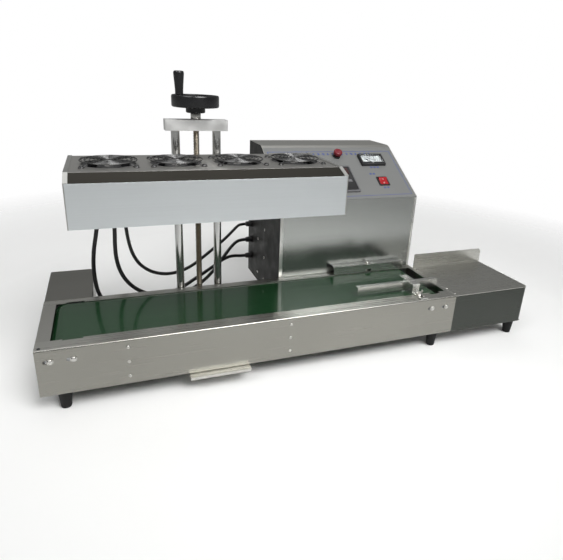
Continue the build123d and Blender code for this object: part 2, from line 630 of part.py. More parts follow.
# ---------------------------------------------------------------- carriage that ties the head to the column
CARRIAGE_END = 18.75  # carriage beyond each rod's axis
CARRIAGE = (ROD_SPACING + 2 * CARRIAGE_END, 25.5, 50.0)
CARRIAGE_RISE = 6.0
NUT_WALL = 5.0
with BuildPart() as carriage_block:
    low = HEAD_Z0 + CARRIAGE_RISE
    block(
        (SCREW_X - CARRIAGE[0] / 2, SCREW_X + CARRIAGE[0] / 2),
        (HEAD_Y1, HEAD_Y1 + CARRIAGE[1]),
        (low, low + CARRIAGE[2]),
    )
    for x in ROD_X:
        round_bar((x, SCREW_Y, low), (0, 0, 1), ROD_RADIUS + BUSH_WALL, CARRIAGE[2], Mode.SUBTRACT)
    round_bar((SCREW_X, SCREW_Y, low), (0, 0, 1), SCREW_RADIUS + NUT_WALL, CARRIAGE[2], Mode.SUBTRACT)
finish(carriage_block, "carriage_block")

with BuildPart() as guide_bushes:
    for x in ROD_X:
        ring((x, SCREW_Y, low), (0, 0, 1), ROD_RADIUS + BUSH_WALL, ROD_RADIUS + RUNNING_GAP, CARRIAGE[2])
    ring((SCREW_X, SCREW_Y, low), (0, 0, 1), SCREW_RADIUS + NUT_WALL, SCREW_RADIUS + RUNNING_GAP, CARRIAGE[2])
finish(guide_bushes, "guide_bushes")

FITTING_RADIUS = 7.5
with BuildPart() as hose_fittings:
    for x in FITTING_X.values():
        round_bar((LEFT + x, HEAD_Y1, DECK + FITTING_RISE), (0, 1, 0), FITTING_RADIUS, FITTING_LENGTH)
finish(hose_fittings, "hose_fittings")

# ---------------------------------------------------------------- end table
with BuildPart() as table_top:
    block((SEAM, RIGHT), (FRONT, FRONT + TABLE_DEPTH), (DECK - SHEET, DECK))
    block((SEAM, RIGHT), (FRONT + TABLE_DEPTH - SHEET, FRONT + TABLE_DEPTH), (DECK - SHEET, DECK + UPSTAND))
    upper = edges().filter_by(Axis.Y).group_by(Axis.Z)[-1]
    fillet(upper.sort_by(Axis.X)[-1], TABLE_CORNER)
    fillet(edges().filter_by(Axis.Z).filter_by_position(Axis.Y, FRONT - 1, FRONT + 1).sort_by(Axis.X)[-1], TABLE_CORNER)
finish(table_top, "table_top")

with BuildPart() as table_skirt:
    with BuildSketch(Plane.XY.offset(FOOT_HEIGHT)):
        with BuildLine():
            Line((SEAM, FRONT), (RIGHT - TABLE_CORNER, FRONT))
            RadiusArc((RIGHT - TABLE_CORNER, FRONT), (RIGHT, FRONT + TABLE_CORNER), -TABLE_CORNER)
            Line((RIGHT, FRONT + TABLE_CORNER), (RIGHT, FRONT + TABLE_DEPTH))
            Line((RIGHT, FRONT + TABLE_DEPTH), (RIGHT - SHEET, FRONT + TABLE_DEPTH))
            Line((RIGHT - SHEET, FRONT + TABLE_DEPTH), (RIGHT - SHEET, FRONT + TABLE_CORNER))
            RadiusArc((RIGHT - SHEET, FRONT + TABLE_CORNER), (RIGHT - TABLE_CORNER, INNER_FRONT), TABLE_CORNER - SHEET)
            Line((RIGHT - TABLE_CORNER, INNER_FRONT), (SEAM, INNER_FRONT))
            Line((SEAM, INNER_FRONT), (SEAM, FRONT))
        make_face()
    extrude(amount=SKIRT_HEIGHT - SHEET)
    pad = 30.0
    for y in (FRONT + SHEET, FRONT + TABLE_DEPTH - pad):
        block((RIGHT - pad, RIGHT - SHEET), span(y, pad - SHEET), span(FOOT_HEIGHT, SHEET))
finish(table_skirt, "table_skirt")

# ---------------------------------------------------------------- motor and its cover
with BuildPart() as motor_cover:
    cover_x = (LEFT, LEFT + MOTOR_COVER_WIDTH)
    block(cover_x, (BACK, BACK + MOTOR_COVER_DEPTH), (FOOT_HEIGHT, DECK))
    fillet(edges().filter_by(Axis.Y).group_by(Axis.Z)[-1], BEND_RADIUS)
    block(
        (cover_x[0] + SHEET, cover_x[1] - SHEET),
        (BACK, BACK + MOTOR_COVER_DEPTH - SHEET),
        (FOOT_HEIGHT + SHEET, DECK - SHEET),
        Mode.SUBTRACT,
    )
finish(motor_cover, "motor_cover")

GEARBOX = (64.0, 30.0)
MOTOR_LENGTH = 70.0
with BuildPart() as drive_motor:
    motor_z = FOOT_HEIGHT + SHEET + MOTOR_RADIUS
    top = ROLLER_Z + 18
    block((DRIVE_X - GEARBOX[0] / 2, DRIVE_X + GEARBOX[0] / 2), span(GEARBOX_Y, GEARBOX[1]), (FOOT_HEIGHT + SHEET, top))
    round_bar((DRIVE_X, GEARBOX_Y + GEARBOX[1], motor_z), (0, 1, 0), MOTOR_RADIUS, MOTOR_LENGTH)
    bore = ROLLER_SHAFT_RADIUS + RUNNING_GAP
    round_bar((DRIVE_X, GEARBOX_Y, ROLLER_Z), (0, 1, 0), bore, SHAFT_IN_GEARBOX + 1, Mode.SUBTRACT)
finish(drive_motor, "drive_motor")

# ---------------------------------------------------------------- control box
BOX_INNER = (BOX_X0 + SHEET, BOX_X1 - SHEET)


def box_outline():
    """The control box's side, as points (y, z), without its rounded bend."""
    return [
        (BOX_Y0, BOX_Z0),
        (BOX_Y0, FACE_TOP),
        (SLOPE_Y, BOX_ROOF),
        (BOX_Y1 - SHEET, BOX_ROOF),
        (BOX_Y1 - SHEET, BOX_Z0),
    ]


with BuildPart() as box_side_panels:
    for x in (BOX_X0, BOX_X1 - SHEET):
        with BuildSketch(Plane.YZ.offset(x)):
            with BuildLine():
                Polyline(*box_outline(), close=True)
            make_face()
            bend = [v for v in vertices() if abs(v.X - SLOPE_Y) < 0.01]
            fillet(bend, TOP_BEND_RADIUS)
        extrude(amount=SHEET)
    for rise in GLAND_RISE.values():
        start = (BOX_X0 - 1, FRONT + GLAND_Y, DECK + rise)
        round_bar(start, (1, 0, 0), 6.0, SHEET + 2, Mode.SUBTRACT)
finish(box_side_panels, "box_side_panels")

with BuildPart() as box_front_panel:
    block(BOX_INNER, span(BOX_Y0, SHEET), (BOX_Z0 + SHEET, FACE_TOP - SHEET))
finish(box_front_panel, "box_front_panel")

# what stands on the control panel, as (middle x, middle y up the slope, width, height)
METER = (266.5, 124.0, 65.0, 38.0)
SWITCH = (269.5, 52.5, 28.0, 29.0)
CONTROLLER = (162.0, 62.0, 72.0, 84.0)
BUTTON = (179.0, 141.0, 10.5)
BUTTON_STEM = 6.0
BUTTON_GAP = 0.1
BEZEL = 2.0  # how far each item's rim overlaps the panel
REAR_LIP = 12.0
with BuildPart() as box_top_panel:
    with BuildSketch(Plane.YZ.offset(BOX_INNER[0])):
        with BuildLine():
            Polyline(*box_outline(), close=True)
        make_face()
        fillet([v for v in vertices() if abs(v.X - SLOPE_Y) < 0.01], TOP_BEND_RADIUS)
        offset(amount=-SHEET, mode=Mode.SUBTRACT)
        with Locations((BOX_Y0, (BOX_Z0 + FACE_TOP - SHEET) / 2)):
            Rectangle(SLOPE_DEPTH, FACE_TOP - SHEET - BOX_Z0, mode=Mode.SUBTRACT)
        with Locations((SLOPE_Y, BOX_Z0)):
            rear = (2 * BOX_DEPTH, BOX_ROOF - REAR_LIP - BOX_Z0)
            Rectangle(*rear, align=(Align.MIN, Align.MIN), mode=Mode.SUBTRACT)
        with Locations((BOX_Y0 + SHEET, BOX_Z0)):
            Rectangle(BOX_DEPTH, SHEET, align=(Align.MIN, Align.MIN), mode=Mode.SUBTRACT)
    extrude(amount=BOX_INNER[1] - BOX_INNER[0])
    with BuildSketch(PANEL):
        for x, y, width, height in (METER, SWITCH, CONTROLLER):
            with Locations((x, y)):
                Rectangle(width - 2 * BEZEL, height - 2 * BEZEL)
        with Locations(BUTTON[:2]):
            Circle(BUTTON_STEM + BUTTON_GAP)
    extrude(amount=4 * SHEET, both=True, mode=Mode.SUBTRACT)
finish(box_top_panel, "box_top_panel")

VENT = (60.0, 4.0)
VENT_GRID = (90.0, 12.0, 3, 6)
VENT_Z = BOX_Z0 + 130
INLET = (30.0, 22.0)
INLET_X = BOX_X0 + 60
INLET_Z = BOX_Z0 + 40
with BuildPart() as box_rear_panel:
    rear_y = BOX_Y1 - 2 * SHEET
    block(BOX_INNER, span(rear_y, SHEET), (BOX_Z0 + SHEET, BOX_ROOF - REAR_LIP))
    with BuildSketch(Plane(origin=(0, rear_y - 1, 0), x_dir=(-1, 0, 0), z_dir=(0, 1, 0))):
        with Locations((-(BOX_X0 + BOX_X1) / 2, VENT_Z)):
            with GridLocations(*VENT_GRID):
                SlotOverall(*VENT)
        with Locations((-INLET_X, INLET_Z)):
            Rectangle(*INLET)
    extrude(amount=SHEET + 2, mode=Mode.SUBTRACT)
finish(box_rear_panel, "box_rear_panel")

with BuildPart() as box_floor:
    block(BOX_INNER, (BOX_Y0, BOX_Y1 - SHEET), span(BOX_Z0, SHEET))
finish(box_floor, "box_floor")

INLET_FLANGE = 6.0
INLET_DEPTH = 22.0
PRONG = (2.0, 4.0, 16.0)
with BuildPart() as power_inlet:
    middle = (INLET_X, INLET_Z)
    block(
        (middle[0] - INLET[0] / 2 - INLET_FLANGE, middle[0] + INLET[0] / 2 + INLET_FLANGE),
        (BOX_Y1 - SHEET, BOX_Y1),
        (middle[1] - INLET[1] / 2 - INLET_FLANGE / 2, middle[1] + INLET[1] / 2 + INLET_FLANGE / 2),
    )
    block(
        (middle[0] - INLET[0] / 2, middle[0] + INLET[0] / 2),
        (BOX_Y1 - SHEET - INLET_DEPTH, BOX_Y1 - SHEET),
        (middle[1] - INLET[1] / 2, middle[1] + INLET[1] / 2),
    )
    block(
        (middle[0] - INLET[0] / 2 + 2, middle[0] + INLET[0] / 2 - 2),
        (BOX_Y1 - INLET_DEPTH + 4, BOX_Y1),
        (middle[1] - INLET[1] / 2 + 2, middle[1] + INLET[1] / 2 - 2),
        Mode.SUBTRACT,
    )
    for shift, rise in ((-7, -2), (7, -2), (0, 3)):
        prong_x = middle[0] + shift
        block(
            (prong_x - PRONG[0] / 2, prong_x + PRONG[0] / 2),
            span(BOX_Y1 - INLET_DEPTH + 4, PRONG[2] - 4),
            (middle[1] + rise - PRONG[1] / 2, middle[1] + rise + PRONG[1] / 2),
        )
finish(power_inlet, "power_inlet")

INVERTER = (180.0, 120.0, 70.0)
INVERTER_FIN = (6.0, 8)
INVERTER_BASE = 24.0
with BuildPart() as inverter_module:
    centre = ((BOX_X0 + BOX_X1) / 2, BOX_Y0 + BOX_DEPTH / 2)
    floor = BOX_Z0 + SHEET
    block(
        (centre[0] - INVERTER[0] / 2, centre[0] + INVERTER[0] / 2),
        (centre[1] - INVERTER[1] / 2, centre[1] + INVERTER[1] / 2),
        span(floor, INVERTER_BASE),
    )
    with Locations((*centre, floor + INVERTER_BASE + (INVERTER[2] - INVERTER_BASE) / 2)):
        with GridLocations(0, INVERTER[1] / INVERTER_FIN[1], 1, INVERTER_FIN[1]):
            Box(INVERTER[0], INVERTER_FIN[0], INVERTER[2] - INVERTER_BASE)
finish(inverter_module, "inverter_module")

# ---------------------------------------------------------------- things on the control panel
METER_PROUD = 6.0
METER_DEPTH = 24.0
METER_WALL = 5.0
DIAL_SINK = 4.0


def on_panel(x, y, height=0.0):
    """The plane at (x, y) of the control panel, raised by height."""
    return PANEL.offset(height).shift_origin(PANEL.offset(height).from_local_coords((x, y, 0)))


def panel_block(item, low, high, grow=0.0, mode=Mode.ADD):
    """A box on the panel over an item's outline, from height low to height high."""
    x, y, width, height = item
    with BuildSketch(on_panel(x, y, low)) as section:
        Rectangle(width + 2 * grow, height + 2 * grow)
    extrude(section.sketch, amount=high - low, mode=mode)


with BuildPart() as meter_housing:
    panel_block(METER, 0, METER_PROUD)
    panel_block(METER, -METER_DEPTH, 0, -BEZEL - 0.1)
    panel_block(METER, METER_PROUD - DIAL_SINK, METER_PROUD, -METER_WALL, Mode.SUBTRACT)
finish(meter_housing, "meter_housing")

WINDOW_THICKNESS = 1.2
with BuildPart() as meter_window:
    panel_block(METER, METER_PROUD - WINDOW_THICKNESS, METER_PROUD, -METER_WALL)
finish(meter_window, "meter_window")

NEEDLE = (24.0, 1.0, 0.8)
NEEDLE_PIVOT = (METER[0], METER[1] - METER[3] / 2 + METER_WALL + 2.5)
NEEDLE_HEIGHT = METER_PROUD - DIAL_SINK + 0.5
NEEDLE_REST = 135.0  # the needle's direction at rest, from the panel's X: at the left end of its scale
with BuildPart() as meter_needle:
    with BuildSketch(on_panel(*NEEDLE_PIVOT, NEEDLE_HEIGHT)):
        Circle(1.8)
        with Locations(Location((0, 0, 0), (0, 0, NEEDLE_REST))):
            Rectangle(NEEDLE[0], NEEDLE[1], align=(Align.MIN, Align.CENTER))
    extrude(amount=NEEDLE[2])
finish(meter_needle, "meter_needle")

CONTROLLER_PROUD = 5.0
CONTROLLER_DEPTH = 60.0
with BuildPart() as controller_unit:
    panel_block(CONTROLLER, 0, CONTROLLER_PROUD)
    panel_block(CONTROLLER, -CONTROLLER_DEPTH, 0, -BEZEL - 0.1)
    x, y, width, height = CONTROLLER
    panel_block((x, y, width - 8, height - 8), CONTROLLER_PROUD - 1, CONTROLLER_PROUD, 0, Mode.SUBTRACT)
finish(controller_unit, "controller_unit")

ROCKER_WALL = 3.0
ROCKER_GAP = 0.4
ROCKER_TILT = 11.0
SWITCH_PROUD = 2.0
SWITCH_DEPTH = 22.0
COLLAR = (BUTTON[2] - 1.0, 4.0)
with BuildPart() as panel_bezels:
    panel_block(SWITCH, 0, SWITCH_PROUD)
    panel_block(SWITCH, -SWITCH_DEPTH, 0, -BEZEL - 0.1)
    panel_block(SWITCH, -SWITCH_DEPTH + 3, SWITCH_PROUD, -ROCKER_WALL, Mode.SUBTRACT)
    with BuildSketch(on_panel(*BUTTON[:2])):
        Circle(COLLAR[0])
    extrude(amount=COLLAR[1])
    with BuildSketch(on_panel(*BUTTON[:2])):
        Circle(BUTTON_STEM + BUTTON_GAP)
    extrude(amount=COLLAR[1], mode=Mode.SUBTRACT)
finish(panel_bezels, "panel_bezels")

ROCKER = (SWITCH[2] - 2 * ROCKER_WALL - 2 * ROCKER_GAP, SWITCH[3] - 2 * ROCKER_WALL - 2 * ROCKER_GAP)
ROCKER_PIVOT = -4.0  # height of the rocker's pivot over the panel
ROCKER_CREST = 5.0  # height of its ends when it is level
with BuildPart() as power_rocker:
    tilted = on_panel(SWITCH[0], SWITCH[1], ROCKER_PIVOT).rotated((ROCKER_TILT, 0, 0))
    section = Plane(tilted.from_local_coords((-ROCKER[0] / 2, 0, 0)), x_dir=tilted.y_dir, z_dir=tilted.x_dir)
    half = ROCKER[1] / 2 - 1.2
    with BuildSketch(section):
        with BuildLine():
            Polyline(
                (-half, ROCKER_CREST - ROCKER_PIVOT - 0.5),
                (0, ROCKER_CREST - ROCKER_PIVOT - 2.5),
                (half, ROCKER_CREST - ROCKER_PIVOT - 0.5),
                (half * 0.8, 0),
                (0, -5),
                (-half * 0.8, 0),
                close=True,
            )
        make_face()
    extrude(amount=ROCKER[0])
finish(power_rocker, "power_rocker")

BUTTON_TRAVEL = 4.0
BUTTON_CAP = 8.0
STEM_LENGTH = 22.0
with BuildPart() as stop_button:
    with BuildSketch(on_panel(*BUTTON[:2], COLLAR[1] + BUTTON_TRAVEL + 0.5)):
        Circle(BUTTON[2])
    extrude(amount=BUTTON_CAP)
    fillet(edges().filter_by(GeomType.CIRCLE).sort_by(Axis.Z)[-1], 2)
    with BuildSketch(on_panel(*BUTTON[:2], COLLAR[1] + BUTTON_TRAVEL + 0.5)):
        Circle(BUTTON_STEM)
    extrude(amount=-STEM_LENGTH)
finish(stop_button, "stop_button")

GLAND_NUT = (9.5, 5.0)
GLAND_DOME = 7.5
with BuildPart() as cable_glands:
    for rise in GLAND_RISE.values():
        z = DECK + rise
        y = FRONT + GLAND_Y
        with BuildSketch(Plane(origin=(BOX_X0, y, z), z_dir=(-1, 0, 0))):
            RegularPolygon(GLAND_NUT[0], 6)
        extrude(amount=GLAND_NUT[1])
        with BuildSketch(Plane(origin=(BOX_X0 - GLAND_NUT[1], y, z), z_dir=(-1, 0, 0))):
            Circle(GLAND_DOME)
        extrude(amount=GLAND_LENGTH - GLAND_NUT[1], taper=8)
        round_bar((BOX_X0, y, z), (1, 0, 0), 5.9, SHEET + 6)
finish(cable_glands, "cable_glands")

# ---------------------------------------------------------------- hoses from the head to the control box
# points from each hose's fitting, as (right of the conveyor's left end, behind its front face, above its deck)
HOSE_POINTS = {
    "motor_hose": [
        (118, 213, 222), (117, 225, 211), (115, 231, 193), (110, 232, 163), (103.5, 230, 122), (94.5, 228.5, 82),
        (91, 228, 45), (92.5, 228, 8), (98, 229, -18), (112, 232, -42), (136, 240, -60), (175, 254, -71),
        (222, 274, -73), (275, 297, -65), (324, 315, -47), (356, 331, -25), (381, 352, -5), (404, 377, 9),
        (424, 399, 17), (440, 410, 20),
    ],
    "coil_hose_left": [
        (138, 213, 222), (138, 224, 211), (138.2, 229, 193), (137.6, 230, 160), (137, 228, 122), (134.5, 226, 84),
        (136, 225.5, 56), (142, 226, 31), (153, 227, 9), (168, 229.5, -9), (190, 236, -26), (219, 249, -38),
        (249, 264, -41), (278, 281, -36), (305, 300, -29), (332, 323, -25), (359, 345, -19), (382, 366, -15),
        (404, 387, -15), (424, 402, -19), (440, 410, -24),
    ],
    "coil_hose_right": [
        (158, 213, 222), (157.6, 224, 211), (157.2, 229, 193), (157, 230, 160), (158.3, 228, 121), (163, 226.5, 84),
        (171, 227, 60), (184, 228, 39.5), (209, 231, 21), (245, 242, 11), (287, 262, 14), (336, 295, 34),
        (381, 331, 51), (410, 367, 59), (428, 394, 61.5), (441, 410, 62),
    ],
}
for name, radius in HOSE_RADII.items():
    first = (FITTING_X[name], HEAD_FRONT + HEAD_DEPTH + FITTING_LENGTH, FITTING_RISE)
    last = (BOX_LEFT - GLAND_LENGTH, GLAND_Y, GLAND_RISE[name])
    route = [Vector(LEFT + x, FRONT + y, DECK + z) for x, y, z in [first, *HOSE_POINTS[name], last]]
    runs = [after - before for before, after in zip(route, route[1:])]
    bends = []
    for before, after in zip(runs, runs[1:]):
        turn = radians(before.get_angle(after))
        bends.append(0.45 * min(before.length, after.length) / tan(turn / 2))
    print(name, "length", round(sum(run.length for run in runs)), "bend radii", [round(bend) for bend in bends])
    with BuildPart() as hose:
        with BuildLine() as path:
            FilletPolyline(*route, radius=bends)
        with BuildSketch(Plane(origin=route[0], z_dir=runs[0])):
            Circle(radius)
        sweep()
    swept = pi * radius**2 * sum(edge.length for edge in path.edges())
    print(name, "volume over section times length", round(hose.part.volume / swept, 4))
    finish(hose, name)

# ---------------------------------------------------------------- product guides and their clamps
GUIDE_FLANGE = 10.0
BRACKET_WIDTH = 17.0
BRACKET_SHEET = 2.0
BRACKET_REACH = (3.0, 90.0)
RISER_Y = 38.0
REAR_FLANGE_REACH = 19.0
REAR_NOTCH = (14.0, 6.0)
CLAMP_NUT_RADIUS = 6.0


def clamp_slot(x, y, travel, z):
    """Cuts the slot that a clamp's shank stands in while its guide travels."""
    reach = travel[1] - travel[0] + 2 * (CLAMP_RADIUS + CLAMP_GAP)
    with BuildSketch(Plane.XY.offset(z)) as slot:
        with Locations(Location((x, y - (travel[0] + travel[1]) / 2, 0), (0, 0, 90))):
            SlotOverall(reach, 2 * (CLAMP_RADIUS + CLAMP_GAP))
    extrude(slot.sketch, amount=2 * BRACKET_SHEET, both=True, mode=Mode.SUBTRACT)


guide_low, guide_high = DECK + GUIDE_LIFT, DECK + GUIDE_LIFT + GUIDE_HEIGHT
with BuildPart() as front_guide:
    wall_y = FRONT + FRONT_GUIDE_Y
    guide_x = span(LEFT + GUIDE_LEFT, FRONT_GUIDE_LENGTH)
    block(guide_x, span(wall_y, SHEET), (guide_low, guide_high))
    block(guide_x, span(wall_y, GUIDE_FLANGE), (guide_high - SHEET, guide_high))
    strap = (LEFT + CLAMP_X - BRACKET_WIDTH / 2, LEFT + CLAMP_X + BRACKET_WIDTH / 2)
    riser = FRONT + RISER_Y
    low = DECK + CLAMP_GAP
    block(strap, (FRONT + BRACKET_REACH[0], riser), span(low, BRACKET_SHEET))
    block(strap, (riser - BRACKET_SHEET, riser), (low, guide_high + BRACKET_SHEET))
    block(strap, (riser - BRACKET_SHEET, FRONT + BRACKET_REACH[1]), span(guide_high, BRACKET_SHEET))
    clamp_slot(LEFT + CLAMP_X, FRONT + CLAMP_Y, FRONT_TRAVEL, low)
finish(front_guide, "front_guide")

with BuildPart() as rear_guide:
    wall_y = FRONT + REAR_GUIDE_Y
    guide_x = span(LEFT + GUIDE_LEFT, REAR_GUIDE_LENGTH)
    block(guide_x, span(wall_y, SHEET), (guide_low, guide_high))
    block(guide_x, span(wall_y, REAR_FLANGE_REACH), (guide_high - SHEET, guide_high))
    notch_x = LEFT + REAR_CLAMP_X
    block(
        (notch_x - REAR_NOTCH[0] / 2, notch_x + REAR_NOTCH[0] / 2),
        (wall_y - 1, wall_y + SHEET + 1),
        (guide_low - 1, guide_low + REAR_NOTCH[1]),
        Mode.SUBTRACT,
    )
    clamp_slot(LEFT + REAR_CLAMP_X, FRONT + REAR_CLAMP_Y, REAR_TRAVEL, guide_high)
finish(rear_guide, "rear_guide")

WING = (16.0, 2.6, 8.0)
with BuildPart() as front_clamp_knob:
    seat = DECK + CLAMP_GAP + BRACKET_SHEET + 0.1
    at = (LEFT + CLAMP_X, FRONT + CLAMP_Y)
    round_bar((*at, DECK - CLAMP_DEPTH), (0, 0, 1), CLAMP_RADIUS, seat - DECK + CLAMP_DEPTH)
    round_bar((*at, seat), (0, 0, 1), CLAMP_NUT_RADIUS, 5)
    with Locations((*at, seat + 3 + WING[2] / 2)):
        Box(*WING)
finish(front_clamp_knob, "front_clamp_knob")

with BuildPart() as rear_clamp_knob:
    seat = guide_high + 0.1
    at = (LEFT + REAR_CLAMP_X, FRONT + REAR_CLAMP_Y)
    round_bar((*at, DECK - CLAMP_DEPTH), (0, 0, 1), CLAMP_RADIUS, seat - DECK + CLAMP_DEPTH)
    round_bar((*at, seat), (0, 0, 1), CLAMP_NUT_RADIUS - 1, 4)
finish(rear_clamp_knob, "rear_clamp_knob")

# ---------------------------------------------------------------- cross rails and feet
CROSS_RAIL_END = 8.0  # cross rails end this far inside the box's back
with BuildPart() as cross_rails:
    for x in CROSS_RAIL_X:
        sides = (x - CROSS_RAIL_WIDTH / 2, x + CROSS_RAIL_WIDTH / 2)
        block(sides, (INNER_FRONT, BOX_Y1 - CROSS_RAIL_END), CROSS_RAIL_Z)
finish(cross_rails, "cross_rails")

FOOT_RADII = (8.5, 12.0)  # at the floor and at the top
FOOT_ROUNDING = 2.5
FOOT_INSET = 18.0  # front feet behind the front face
REAR_FOOT_INSET = 25.0
END_FOOT = 35.5  # feet from the conveyor's two ends
FEET = [
    (LEFT + END_FOOT, FRONT + FOOT_INSET, FOOT_HEIGHT),
    (SEAM - END_FOOT, FRONT + FOOT_INSET, FOOT_HEIGHT),
    (RIGHT - FOOT_INSET, FRONT + FOOT_INSET, FOOT_HEIGHT),
    (RIGHT - FOOT_INSET, FRONT + TABLE_DEPTH - FOOT_INSET, FOOT_HEIGHT),
    (LEFT + END_FOOT, BACK + MOTOR_COVER_DEPTH - FOOT_INSET, FOOT_HEIGHT),
    (CROSS_RAIL_X[0], BOX_Y1 - REAR_FOOT_INSET, CROSS_RAIL_Z[0]),
    (CROSS_RAIL_X[1], BOX_Y1 - REAR_FOOT_INSET, CROSS_RAIL_Z[0]),
]
with BuildPart() as rubber_feet:
    for x, y, top in FEET:
        with BuildSketch(Plane.XY.offset(0)):
            with Locations((x, y)):
                Circle(FOOT_RADII[0])
        with BuildSketch(Plane.XY.offset(top)):
            with Locations((x, y)):
                Circle(FOOT_RADII[1])
        loft()
    fillet(edges().group_by(Axis.Z)[0], FOOT_ROUNDING)
finish(rubber_feet, "rubber_feet")
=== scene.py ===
"""Looks of the tabletop induction sealing machine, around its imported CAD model. Metres, in the model's own frame."""
import json
from math import atan2, cos, pi, radians, sin, tau

import bmesh
import bpy
from mathutils import Matrix, Vector


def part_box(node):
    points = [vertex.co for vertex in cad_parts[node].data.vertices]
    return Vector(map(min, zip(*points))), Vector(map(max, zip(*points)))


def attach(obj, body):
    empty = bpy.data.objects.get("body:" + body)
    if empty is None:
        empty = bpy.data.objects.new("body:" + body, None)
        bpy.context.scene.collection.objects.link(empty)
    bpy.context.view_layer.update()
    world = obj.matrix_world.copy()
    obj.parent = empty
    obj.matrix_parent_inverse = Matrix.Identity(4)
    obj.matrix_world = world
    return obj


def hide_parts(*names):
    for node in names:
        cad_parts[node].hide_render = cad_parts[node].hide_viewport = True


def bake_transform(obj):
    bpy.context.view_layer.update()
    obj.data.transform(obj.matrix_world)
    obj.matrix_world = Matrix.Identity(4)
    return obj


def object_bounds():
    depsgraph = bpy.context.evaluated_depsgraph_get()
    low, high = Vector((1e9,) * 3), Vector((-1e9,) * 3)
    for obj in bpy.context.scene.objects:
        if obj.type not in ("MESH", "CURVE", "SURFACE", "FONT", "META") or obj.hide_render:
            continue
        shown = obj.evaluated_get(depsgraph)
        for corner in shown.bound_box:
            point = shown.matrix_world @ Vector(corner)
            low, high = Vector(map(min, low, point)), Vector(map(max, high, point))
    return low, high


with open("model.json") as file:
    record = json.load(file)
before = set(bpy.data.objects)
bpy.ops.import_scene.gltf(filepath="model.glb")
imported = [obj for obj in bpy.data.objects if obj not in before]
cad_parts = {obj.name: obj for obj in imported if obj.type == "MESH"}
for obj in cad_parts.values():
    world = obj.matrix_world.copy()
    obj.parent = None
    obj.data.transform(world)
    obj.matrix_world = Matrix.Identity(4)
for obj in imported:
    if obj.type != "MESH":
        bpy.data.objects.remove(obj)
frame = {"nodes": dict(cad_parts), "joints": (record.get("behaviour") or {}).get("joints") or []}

cad_box = [list(corner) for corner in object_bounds()]

# ---------------------------------------------------------------- places, from the CAD nodes
MM = 0.001
rail_low, rail_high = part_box("front_rail")
CORNER = Vector((rail_low.x, rail_low.y, rail_high.z))  # the conveyor's front left top corner
side_low, side_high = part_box("box_side_panels")
face_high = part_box("box_front_panel")[1].z + 1.5 * MM
panel_up = next(Vector(j["axis"]) for j in frame["joints"] if j["name"] == "stop_button_press")
panel_along = Vector((0, panel_up.z, -panel_up.y))
panel_corner = Vector((side_low.x, side_low.y, face_high))


def at(x, y, z):
    """A point given in mm right of, behind and above the conveyor's front left top corner."""
    return CORNER + Vector((x, y, z)) * MM


def on_panel(x, y, height=0.0):
    """A point of the control panel: mm along the box, mm up the slope, mm above the sheet."""
    return panel_corner + (Vector((x, 0, 0)) + panel_along * y + panel_up * height) * MM


def place(origin, up=(0, 0, 1), right=(1, 0, 0)):
    """The matrix that puts a shape drawn in mm round Z at origin, with Z along up."""
    z = Vector(up).normalized()
    x = Vector(right)
    x = x - z * x.dot(z)
    assert x.length > 1e-3, "up and right are parallel"
    x.normalize()
    y = z.cross(x)
    turn = Matrix((x, y, z)).transposed().to_4x4()
    return Matrix.Translation(origin) @ turn @ Matrix.Scale(MM, 4)


def panel_place(x, y, height=0.0):
    return place(on_panel(x, y, height), panel_up, (1, 0, 0))


# ---------------------------------------------------------------- camera and studio
camera_data = bpy.data.cameras.new("camera")
camera = bpy.data.objects.new("camera", camera_data)
bpy.context.scene.collection.objects.link(camera)
camera_data.sensor_width = 36
camera_data.lens = 31.5
camera_data.shift_x = -0.0244
camera_data.shift_y = -0.0437
camera_right = Vector((0.93463, -0.35269, 0.04559))
camera_up = Vector((0.08086, 0.33560, 0.93853))
camera_back = camera_right.cross(camera_up).normalized()
camera_up = camera_back.cross(camera_right).normalized()
camera.matrix_world = (
    Matrix.Translation(at(129.2, -767.7, 425.0))
    @ Matrix((camera_right, camera_up, camera_back)).transposed().to_4x4()
)
bpy.context.scene.camera = camera
bpy.context.scene.view_settings.view_transform = "Standard"


